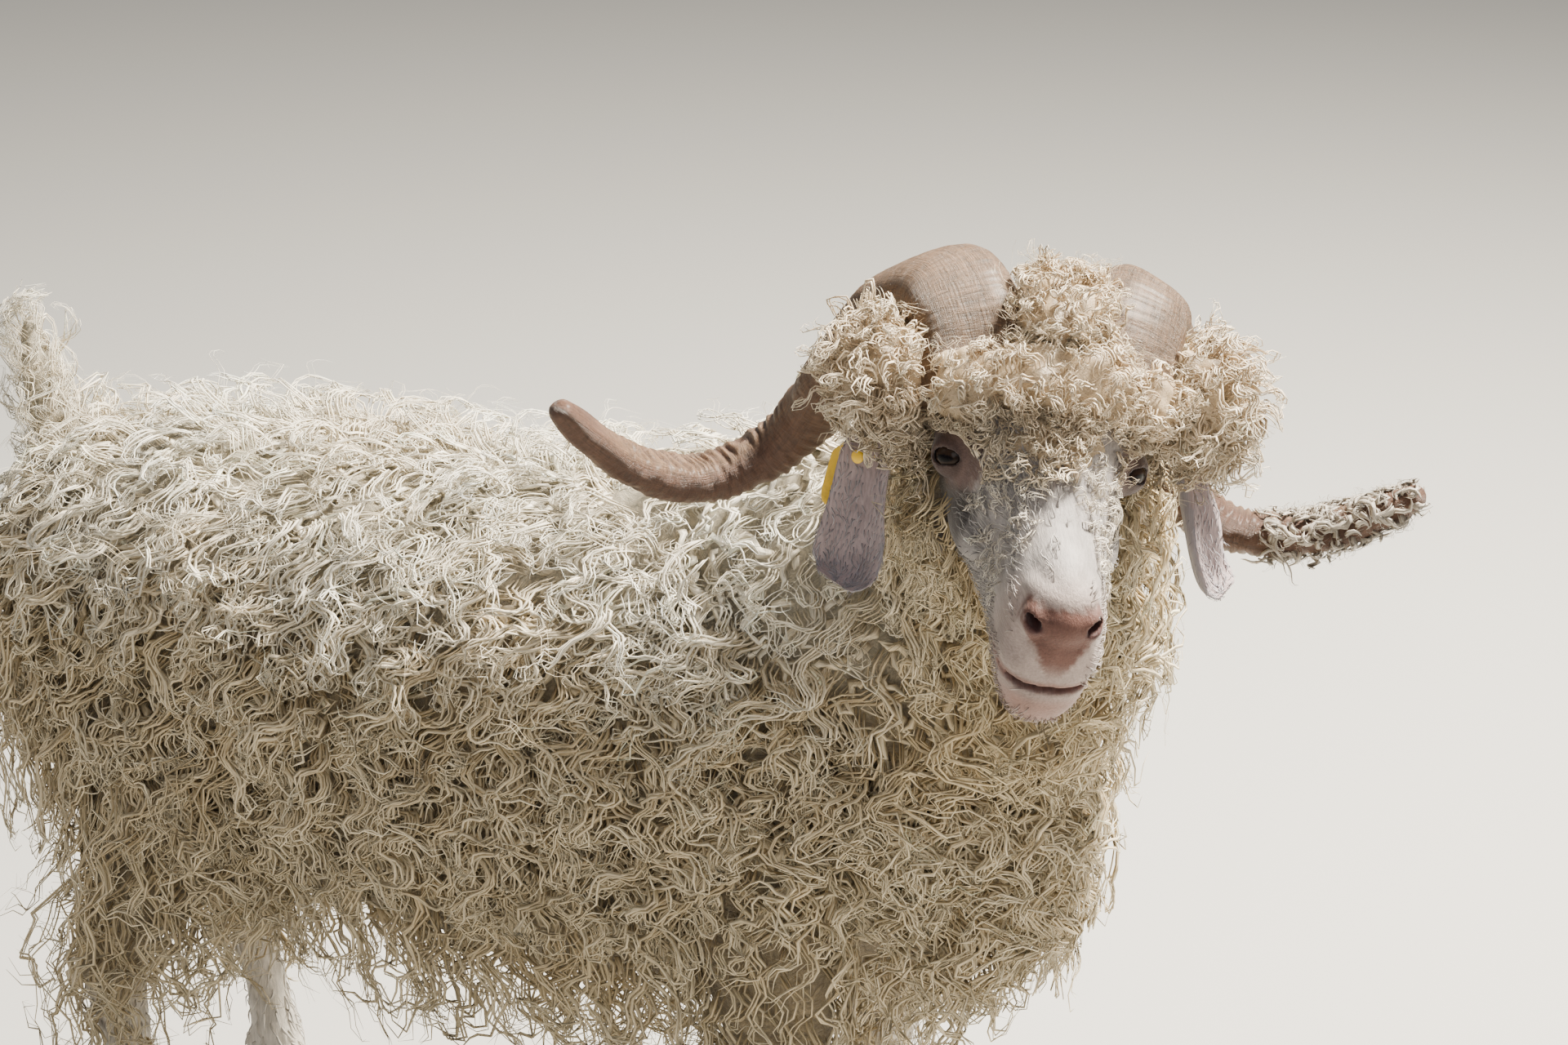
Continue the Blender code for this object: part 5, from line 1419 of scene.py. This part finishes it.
wisps = []
for stations, spacing, start, end in (
    (TRUNK, 0.023, 30, 150),
    (TRUNK, 0.047, 150, 390),
    (NECK, 0.034, 0, 360),
):
    roots = scatter(stations, spacing, body_tree, 0.03, 0.97, start, end)
    wisps.append(grown(roots, off_hide, WISPS, body_tree))
wool_piece("fleece_wisps", wisps)


# The wool of the head: pads of matted under-wool on the brow, over the eyes and at the temples, thick with
# small tight curls, a lump of it between the horns, and ringlets that hang from the pads and the cheeks.
def head_place(u):
    """The place along the head's stations of a distance towards the nose."""
    marks = [section[0] for section in HEAD_SECTIONS]
    for i, (low, high) in enumerate(zip(marks, marks[1:])):
        if u <= high:
            return (i + (u - low) / (high - low)) / (len(marks) - 1)
    return 1.0


WOOL_PADS = {
    "brow": ((-0.002, 0.004, 0.058), (0.030, 0.054, 0.034)),
    "forelock": ((0.022, 0.000, 0.030), (0.032, 0.037, 0.024)),
    "over_right_eye": ((-0.010, -0.054, 0.050), (0.027, 0.030, 0.027)),
    "over_left_eye": ((-0.014, 0.062, 0.046), (0.026, 0.028, 0.026)),
    "right_temple": ((-0.044, -0.104, 0.034), (0.032, 0.034, 0.034)),
    "left_temple": ((-0.046, 0.108, 0.032), (0.032, 0.036, 0.036)),
    "between_horns": ((-0.048, 0.004, 0.088), (0.040, 0.034, 0.026)),
}


def pad_points(centre, radii, directions):
    """Lumpy points on a pad in the given directions, in the head's frame, and the ways that they face."""
    lumps = 1 + 0.10 * np.sin(directions @ (5.0, 3.0, 2.0) + 1) * np.sin(directions @ (-2.0, 6.0, 4.0))
    away = directions * radii * lumps[:, None]
    axes = np.array([AHEAD, ASIDE, ABOVE])
    return np.array(EYES_MIDDLE) + (np.array(centre) + away) @ axes, unit((directions / radii) @ axes)


pads = []
for number, (name, (centre, radii)) in enumerate(WOOL_PADS.items()):
    pad = egg("fleece_pads", Vector(), WORLD_AXES, (1, 1, 1), 48, 32)
    points, _ = pad_points(centre, radii, unit(points_of(pad.data)))
    pad.data.vertices.foreach_set("co", points.ravel())
    pads.append(pad)
pads = join(pads)


NECK_REACH = 0.36


def tree_round_head(parts, loose=()):
    """The surfaces near the head, of set-up parts and of loose ones, for hair to lie on."""
    form = bmesh.new()
    for part in parts:
        form.from_mesh(part.data)
    form.transform(Matrix.Translation(-STAND))
    for part in loose:
        form.from_mesh(part.data)
    far = [v for v in form.verts if (v.co - EYES_MIDDLE).length > NECK_REACH]
    bmesh.ops.delete(form, geom=far, context="VERTS")
    tree = BVHTree.FromBMesh(form)
    form.free()
    return tree


bare_tree = tree_round_head([skin])
face_tree = tree_round_head([skin, horns[1], horns[-1]], [pads])
PAD_TONE, CURL_ROOT, CURL_TIP = (0.50, 0.38, 0.24), (0.60, 0.46, 0.30), (0.88, 0.77, 0.59)
pad_places = points_of(pads.data)
paint(pads.data, "wool_colour", all_over(PAD_TONE, pad_places))
give_ways(pads.data, "strand", pad_places * 900)
layer = pads.data.uv_layers.new(name="OFBake")
pad_number = np.arange(len(pad_places)) * len(WOOL_PADS) // len(pad_places)
u, v, w = head_measure(pad_places)
pad_unwrap = np.column_stack([(pad_number + 0.5 + 6 * (v - v.mean()) * 0.1) / len(WOOL_PADS), 0.5 + 3 * w])
corners = np.empty(len(pads.data.loops), dtype=np.int32)
pads.data.loops.foreach_get("vertex_index", corners)
layer.data.foreach_set("uv", np.clip(pad_unwrap, 0.01, 0.99)[corners].astype(np.float32).ravel())
set_up(pads, mohair, "fleece")


def clear_of_eyes(places, room):
    far = np.full(len(places), 9.0)
    for side in (1, -1):
        along, up, out = (np.array(axis) for axis in eye_axes(side))
        away = places - np.array(eye_centre(side)) + up * 0.004
        far = np.minimum(far, np.hypot(away @ along * 0.8, away @ up))
    return far > room


HORN_MARGIN = 0.004


def outside_horns(spots):
    outside = np.ones(len(spots), dtype=bool)
    for side in (1, -1):
        cover, ways = nearest_on(horn_trees[side], spots)
        outside &= dot(spots - cover, ways)[:, 0] > HORN_MARGIN
    return outside


def strewn_on_pad(number, name, spacing):
    """Roots over the part of a pad that stands out of the head and the horns."""
    centre, radii = WOOL_PADS[name]
    area = 4 * math.pi * (radii[0] * radii[1] * radii[2]) ** (2 / 3)
    tried = int(SPARE * area / spacing**2)
    directions = unit(rng.normal(0, 1, (tried, 3)))
    points, ways = pad_points(centre, np.array(radii), directions)
    spots, facing = nearest_on(face_tree, points + ways * 0.003)
    bare = np.linalg.norm(spots - points, axis=1) < 0.003
    keep = bare & clear_of_eyes(points, 0.020) & outside_horns(points)
    chosen = thinned(points, keep, np.full(tried, spacing))
    round_it = np.arctan2(directions[:, 1], directions[:, 0]) / math.tau + 0.5
    u = (number + 0.1 + 0.8 * round_it) / len(WOOL_PADS)
    v = 0.1 + 0.8 * (0.5 + 0.5 * directions[:, 2])
    return points[chosen], ways[chosen], u[chosen], v[chosen]


def head_tones(places):
    """Beige at the root and cream at the tip, greyer in some clumps."""
    x, y, z = places.T
    root, tip = all_over(CURL_ROOT, places), all_over(CURL_TIP, places)
    patchy = 0.5 + 0.5 * np.sin(x * 61 + 1.0) * np.sin(y * 47 + z * 53)
    return over(root, (0.56, 0.40, 0.24), patchy * 0.5), over(tip, (0.84, 0.68, 0.47), patchy * 0.45)


def white_tones(places):
    share = np.full(len(places), 0.65)
    return both_over(*head_tones(places), (0.74, 0.67, 0.58), (0.92, 0.88, 0.80), share)


def ahead_and_aside(roots, outward):
    u, v, w = head_measure(roots)
    return AHEAD * 0.8 + ASIDE * (v / 0.05)[:, None] * 0.5 - ABOVE * 0.3 + outward * 0.5


def every_way(roots, outward):
    return outward * 0.5 + unit(rng.normal(0, 1, roots.shape))


CURLS = dict(
    length=(0.026, 0.044), width=(0.007, 0.012), wave=(0.020, 0.034), bend=(1.1, 1.8), hook=(3.0, 7.5),
    stand=(0.002, 0.010), stray=1.3, fall=0.22, strands=3, rings=12, band=0, fine=(0.0006, 0.0012), rise=0.40,
)
SMALL = dict(
    CURLS, length=(0.018, 0.032), width=(0.006, 0.009), wave=(0.018, 0.028), stand=(0.001, 0.006),
    rings=10, fine=(0.0004, 0.0008),
)
FRIZZ = dict(CURLS, length=(0.018, 0.036), stand=(0.010, 0.022), rings=10, fine=(0.00010, 0.00022))
pad_curls, frizz = [], []
for number, name in enumerate(WOOL_PADS):
    spacing = 0.0086 if "temple" in name else 0.0066 if "eye" in name else 0.0072
    pad_curls.append(grown(strewn_on_pad(number, name, spacing), every_way, CURLS, face_tree, head_tones))
    frizz.append(grown(strewn_on_pad(number, name, 0.0095), every_way, FRIZZ, face_tree, head_tones))
wool_piece("fleece_pad_curls", pad_curls)


def brow_allow(spots, ways, t, round_it):
    u, v, w = head_measure(spots)
    wool_edge = 0.058 - 0.004 * np.abs(v) / 0.01 + 0.010 * np.cos(v * 60) + ragged(spots, 0.010)
    high = w > -0.006 - 0.5 * np.maximum(0, u)
    return clear_of_eyes(spots, 0.021) & high & (u < wool_edge) & outside_horns(spots)


def bridge_allow(spots, ways, t, round_it):
    u, v, w = head_measure(spots)
    parting = (np.abs(v) < 0.004 + 0.42 * (u - 0.060)) & (u > 0.062)
    return clear_of_eyes(spots, 0.022) & ~parting & (w > -0.030 - 0.35 * np.maximum(0, u))


brow = scatter(HEAD, 0.0072, bare_tree, head_place(-0.10), head_place(0.070), 8, 172, brow_allow)
bridge = scatter(HEAD, 0.0062, bare_tree, head_place(0.036), head_place(0.106), 0, 180, bridge_allow)
wool_piece(
    "fleece_brow",
    [
        grown(brow, ahead_and_aside, CURLS, face_tree, head_tones),
        grown(bridge, ahead_and_aside, SMALL, face_tree, white_tones),
        *frizz,
    ],
)


def fan_out(roots, outward):
    """Out from the head to its own side, upwards above the pad and downwards below it."""
    side = np.sign(head_measure(roots)[1])[:, None]
    return outward * 0.9 + side * ASIDE * 0.55 + AHEAD * 0.1


BONNET = dict(
    length=(0.048, 0.088), width=(0.009, 0.015), wave=(0.032, 0.052), bend=(0.9, 1.6), hook=(2.5, 6.5),
    stand=(0.008, 0.028), stray=0.5, fall=0.42, strands=4, rings=14, band=0, fine=(0.0007, 0.0013), rise=0.40,
)
bonnet = []
for number, name in enumerate(WOOL_PADS):
    if "temple" in name:
        roots = strewn_on_pad(number, name, 0.0088)
        bonnet.append(grown(roots, fan_out, BONNET, face_tree, head_tones, cling=False))


EARLOCK = dict(BONNET, length=(0.055, 0.085), stand=(0.004, 0.012), stray=0.3, fall=1.0)
for number, name in enumerate(WOOL_PADS):
    if "temple" in name:
        spots, ways, at_u, at_v = strewn_on_pad(number, name, 0.0105)
        low = (ways[:, 2] < 0.1) & (ways @ np.array(HEAD_U) > -0.2)
        roots = (spots[low], ways[low], at_u[low], at_v[low])
        bonnet.append(grown(roots, down_hide, EARLOCK, face_tree, head_tones, cling=False))


def temple_allow(spots, ways, t, round_it):
    u, v, w = head_measure(spots)
    return clear_of_eyes(spots, 0.030) & (w > -0.045) & outside_horns(spots)


behind, before = head_place(-0.118), head_place(-0.022)
for start, end in ((-25, 50), (130, 205)):
    roots = scatter(HEAD, 0.0120, bare_tree, behind, before, start, end, temple_allow)
    bonnet.append(grown(roots, fan_out, BONNET, face_tree, head_tones))


def back_and_down(roots, outward):
    return outward * 0.5 - AHEAD * 0.6 + np.array(DOWN) * 0.5


poll = scatter(HEAD, 0.0100, bare_tree, 0.0, head_place(-0.050), 20, 160, temple_allow, reach=0.03)
POLL = dict(CURLS, length=(0.034, 0.058), rings=13)
bonnet.append(grown(poll, back_and_down, POLL, face_tree, white_tones))
SHORT_EARLOCK, OVER_EAR = dict(EARLOCK, length=(0.034, 0.062)), 9
for side in (1, -1):
    middle, across, facing, half_width, _, _ = ear_rows(side, 8)[2]
    row = [across * half_width * place for place in np.linspace(-0.9, 0.9, OVER_EAR)]
    spots = np.array([middle + aside + facing * 0.010 for aside in row])
    roots = (spots, all_over(facing, spots), np.full(OVER_EAR, 0.3), np.linspace(0.3, 0.4, OVER_EAR))
    bonnet.append(grown(roots, down_hide, SHORT_EARLOCK, face_tree, head_tones, cling=False))
wool_piece("fleece_temples", bonnet)


def knot_lie(roots, outward):
    return ABOVE + outward * 0.4


KNOT = dict(CURLS, length=(0.022, 0.040), hook=(2.0, 6.0), stray=0.8, fall=0.10, strands=4, rings=13)
number = list(WOOL_PADS).index("between_horns")
knot = strewn_on_pad(number, "between_horns", 0.0095)
wool_piece("fleece_knot", [grown(knot, knot_lie, KNOT, face_tree, head_tones, cling=False)])


def cheek_allow(spots, ways, t, round_it):
    u, v, w = head_measure(spots)
    low, behind = w < -0.014 + 0.4 * np.clip(-u, 0, 0.06), u < 0.058 - 0.55 * (w + 0.10)
    return clear_of_eyes(spots, 0.026) & low & behind


def cheek_lie(roots, outward):
    side = np.sign(head_measure(roots)[1])[:, None]
    return np.array(DOWN) + side * ASIDE * 0.25 - AHEAD * 0.15


CHEEK = dict(
    FLANK, length=(0.070, 0.125), width=(0.010, 0.016), wave=(0.040, 0.064), bend=(0.9, 1.6), hook=(1.5, 5.5),
    stand=(0.005, 0.022), stray=0.25, fall=1.0, rings=15, fine=(0.0007, 0.0014),
)
cheeks = scatter(HEAD, 0.0100, bare_tree, head_place(-0.120), head_place(0.050), 180, 360, cheek_allow)
wool_piece("fleece_cheeks", [grown(cheeks, cheek_lie, CHEEK, face_tree)])


# The short hair: fine flat hair over the face, the ears and the shanks, that flows back from the nose, down
# the ears and down the legs, and a felt of loose wool that has wound round the left horn's outer half.
SHORT = dict(
    length=(0.008, 0.014), width=(0.0014, 0.0026), wave=(0.02, 0.03), bend=(0.1, 0.4), hook=(0.0, 0.7),
    stand=(0.0008, 0.0028), stray=0.35, fall=0.0, strands=1, rings=5, band=0.6, fine=(0.0003, 0.0005),
)


def short_tones(places):
    """The hide's colour at the root and nearer to white at the tip."""
    base = hide_colours(places)
    return base * 0.80, over(base, (0.80, 0.77, 0.73), np.full(len(places), 0.34))


def face_allow(spots, ways, t, round_it):
    haired = (nose_pad(spots) < 0.4) & (lips(spots) < 0.6)
    return haired & clear_of_eyes(spots, 0.0125) & outside_horns(spots)


def back_from_nose(roots, outward):
    u, v, w = head_measure(roots)
    return -AHEAD + ASIDE * (v / 0.05)[:, None] * 0.35 - ABOVE * (w < -0.03)[:, None] * 0.4


face_roots = scatter(HEAD, 0.0029, bare_tree, head_place(0.030), 1.0, 0, 360, face_allow, reach=0.010)
wool_piece("hair_face", [grown(face_roots, back_from_nose, SHORT, bare_tree, short_tones)], "short_hair")

shank_hair = []
for k, (name, stations) in enumerate(LEGS.items()):
    roots = scatter(stations, 0.0076, body_tree, 0.36, 0.985, reach=0.010)
    make_up = dict(SHORT, length=(0.014, 0.022), width=(0.0040, 0.0062))
    shank_hair.append(grown(roots, down_hide, make_up, body_tree, short_tones, (k / 4, (k + 1) / 4)))
wool_piece("hair_shanks", shank_hair, "short_hair")


def ear_roots(side, count):
    """Roots over both faces of an ear, with the way down it beside them."""
    rows = ear_rows(side, 40)
    row, place = rng.integers(2, 39, count), rng.uniform(-0.96, 0.96, count)
    face = rng.choice((-1, 1), count)
    spots = np.empty((count, 3))
    for k, (r, p, f) in enumerate(zip(row, place, face)):
        middle, across, facing, half_width, _, _ = rows[r]
        spots[k] = middle + across * half_width * p + facing * 0.004 * f
    spots, ways = nearest_on(ear_trees[side], spots)
    chosen = thinned(spots, np.ones(count, dtype=bool), np.full(count, 0.0026))
    return spots[chosen], ways[chosen], row[chosen] / 40, (place[chosen] + 1) / 4


def down_ear(roots, outward):
    return np.tile(np.array(DOWN), (len(roots), 1)) + rng.normal(0, 0.15, roots.shape)


def ear_tones(places):
    shade = all_over(EAR_HAIR_PAINTED_SHADE, places)
    return shade * 0.85, over(shade, (0.66, 0.62, 0.63), np.full(len(places), 0.4))


ear_hair = []
for side in (1, -1):
    make_up = dict(SHORT, length=(0.006, 0.010), width=(0.0013, 0.0022), stand=(0.0003, 0.0010))
    ear_hair.append(grown(ear_roots(side, 9000), down_ear, make_up, ear_trees[side], ear_tones))
wool_piece("hair_ears", ear_hair, "short_hair")


def felt_tones(places):
    root = all_over((0.34, 0.29, 0.225), places)
    return root, root + 0.16


def felt_allow(spots, ways, t, round_it):
    return (t > 0.70) & (np.sin(t * 60 + round_it * math.tau * 2) + 9 * (t - 0.70) > -0.2)


FELT = dict(
    SHORT, length=(0.016, 0.026), width=(0.009, 0.014), wave=(0.02, 0.04), bend=(0.3, 0.8), hook=(0.0, 1.5),
    stand=(0.0004, 0.0036), stray=2.0, strands=2, band=0.45, fine=(0.0002, 0.0006), rings=6,
)
felt_roots = scatter(horn_stations(1), 0.0050, horn_trees[1], 0.66, 0.985, allow=felt_allow)
felt = [grown(felt_roots, every_way, FELT, horn_trees[1], felt_tones)]
FUZZ = dict(FRIZZ, length=(0.008, 0.018), stand=(0.003, 0.009), rings=6, strands=2)
felt.append(grown(felt_roots, every_way, FUZZ, horn_trees[1], felt_tones))
DANGLE = dict(
    FELT, length=(0.060, 0.095), width=(0.004, 0.008), wave=(0.05, 0.08), bend=(0.6, 1.2), hook=(1.0, 2.5),
    stray=0.1, rings=16,
)


def hanging(roots, outward):
    return np.array(DOWN) + outward * 0.1


HANGING_LOCKS = 4
under_horn = scatter(horn_stations(1), 0.0040, horn_trees[1], 0.715, 0.735, 200, 300)
hanging_roots = tuple(values[:HANGING_LOCKS] for values in under_horn)
felt.append(grown(hanging_roots, hanging, DANGLE, horn_trees[1], felt_tones, cling=False))
wool_piece("felt_left_horn", felt)
